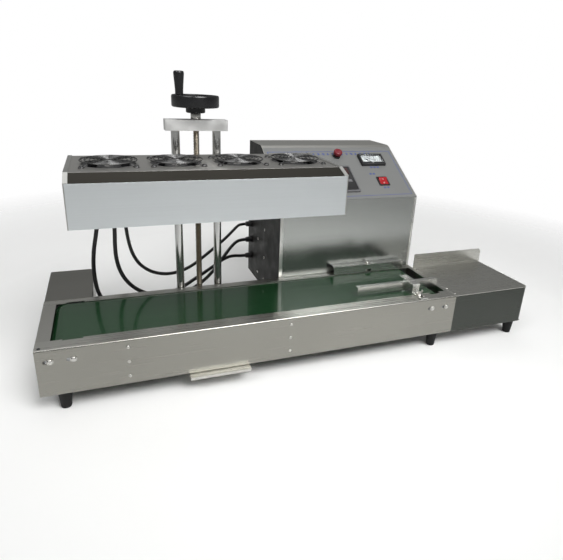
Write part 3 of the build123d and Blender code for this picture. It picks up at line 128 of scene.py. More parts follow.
class Tree:
    """A short way to write node trees."""

    def __init__(self, owner):
        owner.use_nodes = True
        self.tree = owner.node_tree
        self.tree.nodes.clear()

    def add(self, kind, **values):
        node = self.tree.nodes.new(kind)
        for key, value in values.items():
            if hasattr(node, key) and key not in node.inputs:
                setattr(node, key, value)
            else:
                self.put(node.inputs[key.replace("__", " ")], value)
        return node

    def put(self, socket, value):
        if isinstance(value, bpy.types.NodeSocket):
            self.tree.links.new(value, socket)
        elif isinstance(value, (tuple, list)) and len(value) == 3 and len(socket.default_value) == 4:
            socket.default_value = (*value, 1)
        else:
            socket.default_value = value

    def mix(self, share, first, second):
        """A colour mix; share, first and second are values or sockets."""
        node = self.tree.nodes.new("ShaderNodeMix")
        node.data_type = "RGBA"
        self.put(node.inputs[0], share)
        self.put(node.inputs[6], first)
        self.put(node.inputs[7], second)
        return node.outputs[2]

    def scale(self, value, from_min, from_max, to_min, to_max):
        node = self.tree.nodes.new("ShaderNodeMapRange")
        for socket, number in zip(node.inputs, (value, from_min, from_max, to_min, to_max)):
            self.put(socket, number)
        return node.outputs[0]

    def multiply(self, first, second):
        node = self.tree.nodes.new("ShaderNodeMix")
        node.data_type, node.blend_type = "RGBA", "MULTIPLY"
        node.inputs[0].default_value = 1.0
        self.put(node.inputs[6], first)
        self.put(node.inputs[7], second)
        return node.outputs[2]

    def ramp(self, value, stops):
        """A colour ramp over value; stops are (position, colour or grey level)."""
        node = self.add("ShaderNodeValToRGB", Fac=value)
        elements = node.color_ramp.elements
        while len(elements) < len(stops):
            elements.new(0.5)
        for element, (position, colour) in zip(elements, stops):
            colour = colour if isinstance(colour, tuple) else (colour,) * 3
            element.position, element.color = position, (*colour, 1)
        return node.outputs["Color"]

    def noise(self, vector, scale, detail=2.0, roughness=0.5):
        node = self.add("ShaderNodeTexNoise", Vector=vector, Scale=scale, Detail=detail, Roughness=roughness)
        return node.outputs["Fac"]


def build_world():
    """A white backdrop for the camera, and plain soft light for all else: pale below, dim at the horizon."""
    world = bpy.data.worlds.new("studio")
    bpy.context.scene.world = world
    t = Tree(world)
    direction = t.add("ShaderNodeTexCoord").outputs["Generated"]
    parts = t.add("ShaderNodeSeparateXYZ", Vector=direction)
    height = t.scale(parts.outputs["Z"], -1.0, 1.0, 0.0, 1.0)
    levels = [(0.0, 0.42), (0.44, 0.42), (0.50, 0.26), (0.56, 0.20), (0.68, 0.18), (0.80, 0.30), (0.92, 0.40),
              (1.0, 0.40)]
    sky = t.ramp(height, [(position, (level * 0.99, level, level * 0.985)) for position, level in levels])
    room = t.add("ShaderNodeBackground", Color=sky, Strength=1.0)
    backdrop = t.add("ShaderNodeBackground", Color=(1, 1, 1), Strength=1.0)
    seen = t.add("ShaderNodeLightPath").outputs["Is Camera Ray"]
    both = t.add("ShaderNodeMixShader", Fac=seen)
    t.put(both.inputs[1], room.outputs[0])
    t.put(both.inputs[2], backdrop.outputs[0])
    out = t.add("ShaderNodeOutputWorld")
    t.put(out.inputs["Surface"], both.outputs[0])


def area_light(name, position, target, size, power, spread=180.0):
    data = bpy.data.lights.new(name, "AREA")
    data.shape = "RECTANGLE"
    data.size, data.size_y = size
    data.energy = power
    data.spread = radians(spread)
    lamp = bpy.data.objects.new(name, data)
    bpy.context.scene.collection.objects.link(lamp)
    position, target = Vector(position), Vector(target)
    lamp.location = position
    lamp.rotation_mode = "QUATERNION"
    lamp.rotation_quaternion = (target - position).to_track_quat("-Z", "Y")


build_world()
middle = (Vector(cad_box[0]) + Vector(cad_box[1])) / 2
# place from the middle of the object and size in metres, power in watts, spread in degrees
area_light("key_light", middle + Vector((0.55, -1.75, 1.9)), middle, (1.7, 1.3), 11, 60.0)
area_light("fill_light", middle + Vector((-1.5, -1.0, 1.9)), middle, (1.1, 1.0), 2.5, 60.0)
area_light("back_light", middle + Vector((0.2, 1.5, 2.2)), middle, (2.6, 1.8), 2.5, 70.0)


# ---------------------------------------------------------------- materials
def surface(name, colour, metallic=0.0, rough=0.4, **more):
    """A material with its Principled shader; colour and rough may be set from nodes later."""
    material = bpy.data.materials.new(name)
    t = Tree(material)
    shader = t.add("ShaderNodeBsdfPrincipled", Metallic=metallic)
    shader.inputs["Base Color"].default_value = (*colour, 1)
    shader.inputs["Roughness"].default_value = rough
    for key, value in more.items():
        shader.inputs[key.replace("_", " ")].default_value = value
    out = t.add("ShaderNodeOutputMaterial")
    t.put(out.inputs["Surface"], shader.outputs[0])
    material.diffuse_color = (*colour, 1)
    return material, t, shader


def brushed(name, colour, rough=0.32, along="x", smudge=0.1, lines_show=0.04):
    """Brushed sheet steel: fine lines along one axis, soft smudges, a little colour drift."""
    material, t, shader = surface(name, colour, 1.0, rough)
    place_at = t.add("ShaderNodeTexCoord").outputs["Object"]
    stretch = {"x": (5, 350, 350), "y": (350, 5, 350), "z": (350, 350, 5)}[along]
    lines_at = t.add("ShaderNodeMapping", Vector=place_at, Scale=stretch).outputs[0]
    lines = t.noise(lines_at, 1.0, 3.0, 0.6)
    patches = t.noise(place_at, 3.5, 2.0, 0.5)
    dark = tuple(c * (1 - smudge) for c in colour)
    light = tuple(min(1.0, c * (1 + smudge * 0.6)) for c in colour)
    drift = t.mix(t.scale(patches, 0.35, 0.65, 0.0, 1.0), dark, light)
    grey = t.mix(t.scale(lines, 0.3, 0.7, 0.0, 1.0), (1 - lines_show,) * 3, (1 + lines_show * 0.5,) * 3)
    t.put(shader.inputs["Base Color"], t.multiply(drift, grey))
    t.put(shader.inputs["Roughness"], t.scale(lines, 0.3, 0.7, rough - 0.02, rough + 0.02))
    return material


def plain_metal(name, colour, rough, scale=40.0, change=0.12, bump=0.02):
    """Ground, cast or plated metal with an even fine grain."""
    material, t, shader = surface(name, colour, 1.0, rough)
    place_at = t.add("ShaderNodeTexCoord").outputs["Object"]
    grain = t.noise(place_at, scale * 14, 3.0, 0.6)
    patches = t.noise(place_at, scale, 2.0, 0.5)
    dark = tuple(c * (1 - change) for c in colour)
    t.put(shader.inputs["Base Color"], t.mix(t.scale(patches, 0.35, 0.65, 0.0, 1.0), dark, colour))
    t.put(shader.inputs["Roughness"], t.scale(patches, 0.3, 0.7, rough * 0.8, rough * 1.3))
    relief = t.add("ShaderNodeBump", Height=grain, Strength=bump, Distance=0.0003)
    t.put(shader.inputs["Normal"], relief.outputs[0])
    return material


def moulded(name, colour, rough, scale=900.0, bump=0.12, worn=0.25, **more):
    """Plastic, paint or rubber: a fine skin texture, with faint dust and wear."""
    material, t, shader = surface(name, colour, 0.0, rough, **more)
    place_at = t.add("ShaderNodeTexCoord").outputs["Object"]
    skin = t.noise(place_at, scale, 2.0, 0.5)
    patches = t.noise(place_at, 28.0, 4.0, 0.6)
    pale = tuple(c + (0.35 - c) * worn * 0.25 for c in colour)
    t.put(shader.inputs["Base Color"], t.mix(t.scale(patches, 0.45, 0.8, 0.0, 1.0), colour, pale))
    t.put(shader.inputs["Roughness"], t.scale(patches, 0.3, 0.7, rough * 0.85, min(1.0, rough * 1.25)))
    relief = t.add("ShaderNodeBump", Height=skin, Strength=bump, Distance=0.0003)
    t.put(shader.inputs["Normal"], relief.outputs[0])
    return material


def belt_material():
    """Green PVC belting: glossy, with a faint woven back pressed through and a few scuffs along its run."""
    colour = (0.006, 0.036, 0.011)
    material, t, shader = surface("belt_pvc", colour, 0.0, 0.2, Coat_Weight=0.7, Coat_Roughness=0.06)
    place_at = t.add("ShaderNodeTexCoord").outputs["Object"]
    weave_at = t.add("ShaderNodeMapping", Vector=place_at, Scale=(1400, 900, 1400)).outputs[0]
    weave = t.noise(weave_at, 1.0, 1.0, 0.5)
    scuff_at = t.add("ShaderNodeMapping", Vector=place_at, Scale=(4, 60, 60)).outputs[0]
    scuffs = t.noise(scuff_at, 1.0, 4.0, 0.6)
    patches = t.noise(place_at, 7.0, 3.0, 0.5)
    worn = t.mix(t.scale(scuffs, 0.5, 0.8, 0.0, 0.3), colour, (0.014, 0.052, 0.022))
    t.put(shader.inputs["Base Color"], t.mix(t.scale(patches, 0.4, 0.7, 0.0, 0.45), worn, (0.005, 0.030, 0.010)))
    t.put(shader.inputs["Roughness"], t.scale(scuffs, 0.3, 0.7, 0.14, 0.26))
    relief = t.add("ShaderNodeBump", Height=weave, Strength=0.10, Distance=0.0003)
    t.put(shader.inputs["Normal"], relief.outputs[0])
    return material


# The front rail's skirt steel is a darker copy of the deck steel on its top flange: painted shade on one bent sheet.
shaded_skirt_steel = brushed("shaded_skirt_steel", (0.29, 0.284, 0.257), 0.26, "x", 0.04, lines_show=0.02)
table_steel = brushed("table_steel", (0.070, 0.075, 0.068), 0.26, "x", 0.04, lines_show=0.02)
deck_steel = brushed("deck_steel", (0.56, 0.555, 0.52), 0.28, "x", 0.04, lines_show=0.02)
plate_steel = brushed("plate_steel", (0.50, 0.495, 0.465), 0.30, "z", 0.04)
cover_steel = brushed("cover_steel", (0.28, 0.275, 0.255), 0.32, "x", 0.05)
face_steel = brushed("face_steel", (0.42, 0.435, 0.42), 0.22, "x", 0.03, lines_show=0.02)
panel_film = moulded("panel_film", (0.150, 0.153, 0.150), 0.42, 500.0, 0.02, 0.06)
roof_steel = brushed("roof_steel", (0.38, 0.375, 0.355), 0.42, "x", 0.04)
head_face_steel = brushed("head_face_steel", (0.76, 0.795, 0.81), 0.45, "x", 0.02, lines_show=0.02)
# The strip steel is near black: a painted dark reflection on what is the same steel as the head's front face.
strip_painted_reflection = brushed("strip_painted_reflection", (0.034, 0.031, 0.024), 0.42, "x", 0.05)
head_top_steel = brushed("head_top_steel", (0.46, 0.45, 0.43), 0.36, "x", 0.05)
cap_steel = brushed("cap_steel", (0.55, 0.55, 0.53), 0.32, "y", 0.05)
guide_steel = brushed("guide_steel", (0.74, 0.74, 0.71), 0.26, "x", 0.03)
inner_steel = plain_metal("inner_zinc", (0.40, 0.41, 0.42), 0.42, 30.0, 0.25)
ground_aluminium = plain_metal("ground_aluminium", (0.84, 0.84, 0.83), 0.44, 50.0, 0.05, 0.01)
# A bright steel for the strips down the control box front's edges: a painted highlight of its bent edges.
edge_highlight_steel = plain_metal("edge_highlight_steel", (0.86, 0.86, 0.83), 0.3, 20.0, 0.05, 0.0)
chrome = plain_metal("chrome_rod", (0.58, 0.58, 0.57), 0.12, 30.0, 0.06, 0.0)
guard_wire = plain_metal("guard_wire", (0.17, 0.17, 0.17), 0.28, 60.0, 0.1, 0.0)
bright_screw = plain_metal("bright_screw", (0.62, 0.61, 0.58), 0.26, 80.0, 0.1)
dark_screw = plain_metal("dark_screw", (0.07, 0.07, 0.07), 0.38, 80.0, 0.1)
screw_steel = plain_metal("oiled_screw", (0.34, 0.30, 0.24), 0.30, 60.0, 0.25)
bronze = plain_metal("bronze_bush", (0.52, 0.33, 0.14), 0.34, 60.0, 0.2)
copper = plain_metal("copper_coil", (0.72, 0.33, 0.18), 0.34, 60.0, 0.2)
ferrite = moulded("ferrite_grey", (0.035, 0.036, 0.04), 0.5, 700.0, 0.1)
board = moulded("insulating_board", (0.42, 0.36, 0.24), 0.55, 500.0, 0.15)
black_plastic = moulded("black_plastic", (0.010, 0.010, 0.011), 0.36, 1100.0, 0.10)
# A near-black finish for the left side of the control box: painted shade on the same sheet whose right side keeps the
# plate steel.
left_side_painted_shade = moulded("left_side_painted_shade", (0.016, 0.016, 0.014), 0.5, 900.0, 0.04, 0.1, Specular_IOR_Level=0.2)
fan_plastic = moulded("fan_plastic", (0.014, 0.014, 0.015), 0.42, 900.0, 0.1)
wheel_plastic = moulded("wheel_plastic", (0.007, 0.007, 0.008), 0.24, 1500.0, 0.05, 0.1)
rubber = moulded("foot_rubber", (0.006, 0.006, 0.006), 0.55, 700.0, 0.2, 0.1, Specular_IOR_Level=0.25)
hose_rubber = moulded("hose_rubber", (0.008, 0.008, 0.009), 0.34, 900.0, 0.12)
motor_paint = moulded("motor_paint", (0.10, 0.13, 0.16), 0.45, 600.0, 0.15)
red_plastic = moulded("red_plastic", (0.30, 0.006, 0.010), 0.16, 1400.0, 0.03, 0.05)
button_plastic = moulded("button_plastic", (0.15, 0.007, 0.015), 0.26, 1400.0, 0.03, 0.05)
white_dial = moulded("white_dial", (0.78, 0.79, 0.78), 0.45, 1400.0, 0.02, 0.05)
blue_print = moulded("blue_print", (0.010, 0.045, 0.26), 0.5, 1400.0, 0.02, 0.2)
black_print = moulded("black_print", (0.012, 0.012, 0.014), 0.5, 1400.0, 0.02, 0.1)
yellow_print = moulded("yellow_print", (0.68, 0.50, 0.03), 0.45, 1400.0, 0.02, 0.1)
grey_plastic = moulded("grey_plastic", (0.11, 0.11, 0.115), 0.42, 1100.0, 0.1)
belt_pvc = belt_material()
window = surface(
    "meter_glass", (0.92, 0.94, 0.95), 0.0, 0.05, Transmission_Weight=1.0, IOR=1.25
)[0]
display, _, _ = surface("display_glass", (0.03, 0.004, 0.004), 0.0, 0.12, Coat_Weight=0.6)

NODE_MATERIALS = {
    shaded_skirt_steel: ("front_rail",),
    table_steel: ("table_skirt",),
    deck_steel: ("rear_rail", "table_top", "base_plate"),
    plate_steel: ("conveyor_end_plates",),
    cover_steel: ("motor_cover",),
    guide_steel: ("front_guide", "rear_guide"),
    left_side_painted_shade: ("box_side_panels",),
    face_steel: ("box_front_panel",),
    panel_film: ("box_top_panel",),
    roof_steel: ("box_rear_panel",),
    head_face_steel: ("head_front_panel",),
    head_top_steel: ("head_cover",),
    cap_steel: ("head_end_caps",),
    inner_steel: ("slider_bed", "bed_crossbars", "roller_brackets", "cross_rails", "box_floor"),
    ground_aluminium: ("top_block", "inverter_module", "carriage_block"),
    chrome: ("guide_rods", "drive_roller", "idler_roller"),
    bronze: ("screw_bearings", "guide_bushes"),
    copper: ("induction_coil",),
    ferrite: ("ferrite_bars",),
    board: ("head_bottom_plate",),
    belt_pvc: ("conveyor_belt",),
    black_plastic: ("power_inlet",),
    motor_paint: ("drive_motor",),
    rubber: ("rubber_feet",),
    black_print: ("meter_needle",),
    window: ("meter_window",),
}
for material, names in NODE_MATERIALS.items():
    for name in names:
        node = frame["nodes"][name]
        node.data.materials.clear()
        node.data.materials.append(material)


def finish_faces(name, material, chosen):
    """Gives another finish to the faces of a CAD node that chosen(normal, middle) picks."""
    mesh = frame["nodes"][name].data
    mesh.materials.append(material)
    index = len(mesh.materials) - 1
    for face in mesh.polygons:
        if chosen(face.normal, face.center):
            face.material_index = index


# The front rail's upward faces take the lighter deck steel and its other faces keep the darker skirt steel: lit and
# shaded copies of one sheet, painted shade.
finish_faces("front_rail", deck_steel, lambda normal, middle: normal.z > 0.7)
# The upward faces of the head's front panel take the near-black strip steel: a painted dark reflection.
finish_faces("head_front_panel", strip_painted_reflection, lambda normal, middle: normal.z > 0.5)
finish_faces("box_top_panel", roof_steel,
             lambda normal, middle: normal.z > panel_up.z + 0.004 or normal.y > 0.5)
# The left side faces keep the near-black painted shade; the right side and the edges get the plate steel.
finish_faces("box_side_panels", plate_steel,
             lambda normal, middle: middle.x > (side_low.x + side_high.x) / 2 or abs(normal.x) < 0.5)

# ---------------------------------------------------------------- mesh building
class Shape:
    """One piece: parts are added in mm under a placing matrix, then done() makes the object."""

    def __init__(self, *materials):
        self.mesh = bmesh.new()
        self.materials = materials

    def grid(self, rows, closed=True, matrix=Matrix.Identity(4), material=0, caps=(False, False)):
        """Faces between rows of points; each row is a ring if closed."""
        made = [[self.mesh.verts.new(matrix @ Vector(point)) for point in row] for row in rows]
        faces = []
        for low, high in zip(made, made[1:]):
            count = len(low)
            for i in range(count if closed else count - 1):
                j = (i + 1) % count
                faces.append(self.mesh.faces.new((low[i], low[j], high[j], high[i])))
        for wanted, row in zip(caps, (made[0][::-1], made[-1])):
            if wanted:
                faces.append(self.mesh.faces.new(row))
        for face in faces:
            face.material_index = material
            face.smooth = True
        return faces

    def lathe(self, matrix, profile, segments=32, material=0, outline=None):
        """Turns (radius, height) points round Z; a first or last radius of 0 closes that end.
        outline(turn) scales the rings whose profile point has a third, true value."""
        ends = (profile[0][0] == 0, profile[-1][0] == 0)
        body = profile[1 if ends[0] else 0: len(profile) - (1 if ends[1] else 0)]
        rows = []
        for radius, height, *shaped in body:
            row = []
            for i in range(segments):
                turn = tau * i / segments
                reach = radius * (outline(turn) if shaped and shaped[0] and outline else 1.0)
                row.append((reach * cos(turn), reach * sin(turn), height))
            rows.append(row)
        flat = (ends[0], ends[1])
        return self.grid(rows, True, matrix, material, flat)

    def tube(self, points, radius, segments=10, material=0, closed=False, matrix=Matrix.Identity(4)):
        """A round bar along points, in the space of matrix."""
        points = [Vector(p) for p in points]
        count = len(points)
        rows, side = [], None
        for i, point in enumerate(points):
            before = points[i - 1] if i or closed else point
            after = points[(i + 1) % count] if i + 1 < count or closed else point
            along = (after - before).normalized()
            if side is None:
                side = along.orthogonal().normalized()
            side = (side - along * side.dot(along)).normalized()
            other = along.cross(side)
            rows.append([point + (side * cos(tau * k / segments) + other * sin(tau * k / segments)) * radius
                         for k in range(segments)])
        if closed:
            rows.append(rows[0])
        return self.grid(rows, True, matrix, material, (not closed, not closed))

    def prism(self, matrix, outline, low, high, material=0, bevel=0.0, segments=2):
        """A plate with the given outline, between two heights, with rounded edges if bevel is set."""
        bottom = [self.mesh.verts.new(matrix @ Vector((x, y, low))) for x, y in outline]
        top = [self.mesh.verts.new(matrix @ Vector((x, y, high))) for x, y in outline]
        faces = [self.mesh.faces.new(bottom[::-1]), self.mesh.faces.new(top)]
        for i in range(len(outline)):
            j = (i + 1) % len(outline)
            faces.append(self.mesh.faces.new((bottom[i], bottom[j], top[j], top[i])))
        for face in faces:
            face.material_index = material
        if bevel:
            edges = list({edge for face in faces for edge in face.edges})
            made = bmesh.ops.bevel(self.mesh, geom=edges, offset=bevel * MM, segments=segments, profile=0.5,
                                   affect="EDGES", clamp_overlap=True)
            for face in made["faces"]:
                face.material_index = material
        return faces

    def block(self, matrix, x, y, z, material=0, bevel=0.4, segments=2):
        outline = [(x[0], y[0]), (x[1], y[0]), (x[1], y[1]), (x[0], y[1])]
        return self.prism(matrix, outline, z[0], z[1], material, bevel, segments)

    def done(self, name, body, replaces=(), angle=38):
        bmesh.ops.remove_doubles(self.mesh, verts=self.mesh.verts, dist=1e-7)
        bmesh.ops.recalc_face_normals(self.mesh, faces=self.mesh.faces)
        for face in self.mesh.faces:
            face.smooth = True
        data = bpy.data.meshes.new(name)
        self.mesh.to_mesh(data)
        self.mesh.free()
        for material in self.materials:
            data.materials.append(material)
        data.set_sharp_from_angle(angle=radians(angle))
        piece = bpy.data.objects.new(name, data)
        bpy.context.scene.collection.objects.link(piece)
        if body:
            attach(piece, body)
        if replaces:
            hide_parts(*replaces)
        return piece


def rounded(width, height, radius, steps=5):
    """A rounded rectangle's outline round the origin."""
    points = []
    for corner, (sx, sy) in enumerate(((1, 1), (-1, 1), (-1, -1), (1, -1))):
        for i in range(steps + 1):
            turn = pi / 2 * (corner + i / steps)
            points.append((sx * (width / 2 - radius) + radius * cos(turn),
                           sy * (height / 2 - radius) + radius * sin(turn)))
    return points


def cross_recess(reach, arm):
    """How far a cross-shaped driver recess reaches in each direction, as a share of reach."""
    def outline(turn):
        c, s = max(abs(cos(turn)), 1e-6), max(abs(sin(turn)), 1e-6)
        return max(min(reach / c, arm / s), min(arm / c, reach / s)) / reach
    return outline


def six_sides(turn):
    """A hexagon's reach in each direction, as a share of its corner radius."""
    step = (turn % (pi / 3)) - pi / 6
    return cos(pi / 6) / cos(step)


def pan_screw(shape, matrix, radius, height=None, material=0, segments=24):
    """A pan-head screw with a cross recess, standing on the matrix's plane."""
    h = height or radius * 0.62
    reach, arm = radius * 0.52, radius * 0.13
    profile = [(radius, 0), (radius, h * 0.35), (radius * 0.95, h * 0.62), (radius * 0.8, h * 0.88),
               (radius * 0.62, h), (reach, h, True), (reach * 0.9, h * 0.35, True), (0, h * 0.3)]
    shape.lathe(matrix, profile, segments, material, cross_recess(reach, arm))


def socket_screw(shape, matrix, radius, height, material=0, segments=24):
    """A button-head screw with a hexagonal socket."""
    profile = [(radius, 0), (radius, height * 0.25), (radius * 0.94, height * 0.6), (radius * 0.74, height * 0.92),
               (radius * 0.6, height), (radius * 0.45, height, True), (radius * 0.45, height * 0.3, True),
               (0, height * 0.3)]
    shape.lathe(matrix, profile, segments, material, six_sides)


# ---------------------------------------------------------------- hoses from the head to the control box
HOSE_ROUTES = {
    "motor_hose": (4.0, 0.712, [
        (118, 199.5, 222), (118, 213, 222), (117, 225, 211), (115, 231, 193), (110, 232, 163), (103.5, 230, 122),
        (94.5, 228.5, 82), (91, 228, 45), (92.5, 228, 8), (98, 229, -18), (112, 232, -42), (136, 240, -60),
        (175, 254, -71), (222, 274, -73), (275, 297, -65), (324, 315, -47), (356, 331, -25), (381, 352, -5),
        (404, 377, 9), (424, 399, 17), (440, 410, 20), (455, 410, 20),
    ], ((117, 229, 200), (175, 254, -71))),
    "coil_hose_left": (4.0, 0.615, [
        (138, 199.5, 222), (138, 213, 222), (138, 224, 211), (138.2, 229, 193), (137.6, 230, 160), (137, 228, 122),
        (134.5, 226, 84), (136, 225.5, 56), (142, 226, 31), (153, 227, 9), (168, 229.5, -9), (190, 236, -26),
        (219, 249, -38), (249, 264, -41), (278, 281, -36), (305, 300, -29), (332, 323, -25), (359, 345, -19),
        (382, 366, -15), (404, 387, -15), (424, 402, -19), (440, 410, -24), (455, 410, -24),
    ], ((137, 229, 200), (382, 366, -15))),
    "coil_hose_right": (3.5, 0.560, [
        (158, 199.5, 222), (158, 213, 222), (157.6, 224, 211), (157.2, 229, 193), (157, 230, 160), (158.3, 228, 121),
        (163, 226.5, 84), (171, 227, 60), (184, 228, 39.5), (209, 231, 21), (245, 242, 11), (287, 262, 14),
        (336, 295, 34), (381, 331, 51), (410, 367, 59), (428, 394, 61.5), (441, 410, 62), (455, 410, 62),
    ], ((157, 228, 200), (381, 331, 51))),
}
for name, (radius, length, route, turn_over) in HOSE_ROUTES.items():
    line = bpy.data.curves.new(name + "_line", "CURVE")
    line.dimensions = "3D"
    line.resolution_u = 10
    spline = line.splines.new("NURBS")
    spline.points.add(len(route) - 1)
    for point, spot in zip(spline.points, route):
        point.co = (*at(*spot), 1)
    spline.order_u = 3
    spline.use_endpoint_u = True
    holder = bpy.data.objects.new(name + "_line", line)
    bpy.context.scene.collection.objects.link(holder)
    bpy.context.view_layer.update()
    graph = bpy.context.evaluated_depsgraph_get()
    traced = bpy.data.meshes.new_from_object(holder.evaluated_get(graph))
    path = [vertex.co.copy() for vertex in traced.vertices]
    bpy.data.meshes.remove(traced)
    bpy.data.objects.remove(holder)
    hose = Shape(hose_rubber)
    hose.tube(path, radius * MM, 20)
    piece = hose.done(name + "_rubber", None, (name,), 60)
    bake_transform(piece)

# ---------------------------------------------------------------- column: lead screw, handwheel and grip
block_low, block_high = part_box("top_block")
screw_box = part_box("lead_screw")
SCREW = Vector(((block_low.x + block_high.x) / 2, (block_low.y + block_high.y) / 2, 0))


def column(z):
    """The place on the lead screw's axis at a height in mm above the table that the machine stands on."""
    return place(SCREW + Vector((0, 0, z * MM)))


def threaded_screw():
    low = screw_box[0].z / MM
    thread_top = block_high.z / MM
    shape = Shape(screw_steel, bright_screw)
    pitch, crest, root, segments, step = 3.0, 6.0, 4.7, 20, 0.5
    rows = []
    for i in range(int((thread_top - low) / step) + 1):
        z = low + i * step
        row = []
        for k in range(segments):
            phase = (z / pitch - k / segments) % 1.0
            wave = min(1.0, max(0.0, abs(phase - 0.5) * 4 - 0.5))
            reach = root + (crest - root) * wave
            row.append((reach * cos(tau * k / segments), reach * sin(tau * k / segments), z))
        rows.append(row)
    shape.grid(rows, True, column(0), 0, (True, True))
    shape.lathe(column(460.05), [(0, 0), (8.7, 0), (9.5, 0.8), (9.5, 11.2), (8.7, 12), (0, 12)], 40, 1)
    shape.lathe(column(467), [(0, 0), (5.9, 0), (5.9, 12.9), (0, 12.9)], 32, 1)
    shape.done("lead_screw_thread", "screw", ("lead_screw",), 50)


def handwheel():
    shape = Shape(wheel_plastic, bright_screw)
    profile = [(6.1, 472.1), (16.6, 472.1), (18, 473.4), (18, 480.6), (19.2, 481.8), (22, 482.1), (39, 482.1),
               (42.3, 482.5), (43.6, 483.6), (44, 485.5), (44, 500.5), (43.6, 502.6), (42.6, 503.8), (41.4, 504),
               (40.5, 503.4), (40.1, 502), (39.4, 490.5), (38, 488.6), (36, 488), (15, 488), (13.2, 488.6),
               (12.4, 490.5), (12, 500), (11.4, 501.5), (9.6, 502), (5.4, 502), (5.4, 499), (0, 499)]
    shape.lathe(column(0), profile, 96)
    for i in range(5):
        turn = GRIP_TURN + tau * (i + 0.5) / 5
        spot = place(SCREW, (0, 0, 1), (cos(turn), sin(turn), 0))
        shape.block(spot, (12, 40), (-2.2, 2.2), (487.5, 494), 0, 1.0)
    boss = place(grip_foot)
    shape.lathe(boss, [(7.4, 488.3), (7.4, 503), (6.8, 504), (0, 504)], 32)
    socket_screw(shape, column(499), 4.6, 2.4, 1)
    shape.done("handwheel_moulding", "screw", ("handwheel",), 32)


grip_low, grip_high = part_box("crank_grip")
grip_foot = Vector(((grip_low.x + grip_high.x) / 2, (grip_low.y + grip_high.y) / 2, 0))
GRIP_TURN = atan2(grip_foot.y - SCREW.y, grip_foot.x - SCREW.x)


def crank_grip():
    shape = Shape(wheel_plastic, bright_screw)
    foot, top = grip_low.z / MM, grip_high.z / MM
    profile = [(3.05, foot), (6.6, foot), (7.4, foot + 0.7), (7.5, foot + 2), (7.2, foot + 3.6), (7.35, foot + 8),
               (7.9, foot + 16), (8.5, foot + 24), (9.1, foot + 31), (9.45, top - 6), (9.45, top - 3.6),
               (8.9, top - 1.6), (7.6, top - 0.4), (5.4, top), (3.4, top), (3.2, top - 1.2), (0, top - 1.2)]
    shape.lathe(place(grip_foot), profile, 48)
    pan_screw(shape, place(grip_foot + Vector((0, 0, (top - 1.2) * MM))), 2.6, 1.0, 1)
    shape.done("crank_grip_moulding", "grip", ("crank_grip",), 40)


threaded_screw()
handwheel()
crank_grip()

# ---------------------------------------------------------------- fans on the head
impellers = [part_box(f"fan_impeller_{i}") for i in (1, 2, 3, 4)]
fan_spots = [Vector(((low.x + high.x) / 2, (low.y + high.y) / 2, 0)) for low, high in impellers]
cover_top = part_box("head_cover")[1].z / MM
fan_low, fan_high = (corner.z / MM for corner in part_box("fan_frames"))
hub_low, hub_high = impellers[0][0].z / MM, impellers[0][1].z / MM


def fan_frame():
    shape = Shape(fan_plastic)
    for spot in fan_spots:
        home = place(spot)
        outer = [(0.99 * x, 0.99 * y) for x, y in rounded(92, 92, 6, 6)]
        for low, high in ((fan_low, fan_low + 3.2), (fan_high - 3.2, fan_high - 0.1)):
            # a flange: the square outline joined to the round bore
            inner = [(43.2 * cos(atan2(y, x)), 43.2 * sin(atan2(y, x))) for x, y in outer]
            rows = [[(x, y, low) for x, y in outer], [(x, y, high) for x, y in outer],
                    [(x, y, high) for x, y in inner], [(x, y, low) for x, y in inner], [(x, y, low) for x, y in outer]]
            shape.grid(rows, True, home)
        wall = [(44.8, fan_low + 3.2), (44.8, fan_high - 3.2), (43.2, fan_high - 3.2), (43.2, fan_low + 3.2)]
        wall.append(wall[0])
        shape.lathe(home, wall, 56)
        seat = [(0, fan_low), (19.4, fan_low), (20, fan_low + 0.6), (20, fan_low + 2.9), (0, fan_low + 2.9)]
        shape.lathe(home, seat, 40)
        for i in range(4):
            turn = radians(45 + 90 * i)
            arm = place(spot, (0, 0, 1), (cos(turn), sin(turn), 0))
            shape.block(arm, (18, 43.6), (-2.4, 2.4), (fan_low, fan_low + 2.9), 0, 0.5)
    shape.done("fan_frames_moulding", "head", ("fan_frames",), 35)


def fan_blade(shape, home, turn):
    """One swept blade from the hub to the tip, as a thin twisted shell."""
    across, along, thick = 6, 7, 0.8
    middle = (hub_low + hub_high) / 2
    rows = []
    for i in range(across + 1):
        share = i / across
        radius = 19.4 + (41.0 - 19.4) * share
        pitch = radians(46 - 20 * share)
        chord = (17 + 9 * share)
        lead = turn + radians(16) * share * share
        row = []
        for k in range(along + 1):
            run = (k / along - 0.5) * chord
            arch = 1.6 * (1 - (2 * k / along - 1) ** 2)
            spin = lead + run * cos(pitch) / radius
            row.append((radius * cos(spin), radius * sin(spin), middle + run * sin(pitch) * 0.92 + arch))
        rows.append(row)
    rings = []
    for row in rows:
        under = [(x, y, z - thick) for x, y, z in reversed(row)]
        rings.append(row + under)
    shape.grid(rings, True, home, 0, (True, True))


def fan_impeller(number, spot):
    shape = Shape(fan_plastic, bright_screw)
    home = place(spot)
    shape.lathe(home, [(0, hub_low), (19.2, hub_low), (19.8, hub_low + 0.6), (19.8, hub_high - 2), (19, hub_high - 0.6),
                       (17, hub_high), (9, hub_high), (8.6, hub_high - 0.5), (0, hub_high - 0.5)], 48)
    for i in range(7):
        fan_blade(shape, home, tau * i / 7)
    label = [(0, -0.1), (7.6, -0.1), (7.6, 0.2), (0, 0.2)]
    shape.lathe(place(spot + Vector((0, 0, (hub_high - 0.5) * MM))), label, 32, 1)
    shape.done(f"fan_rotor_{number}", f"fan_{number}", (f"fan_impeller_{number}",), 40)


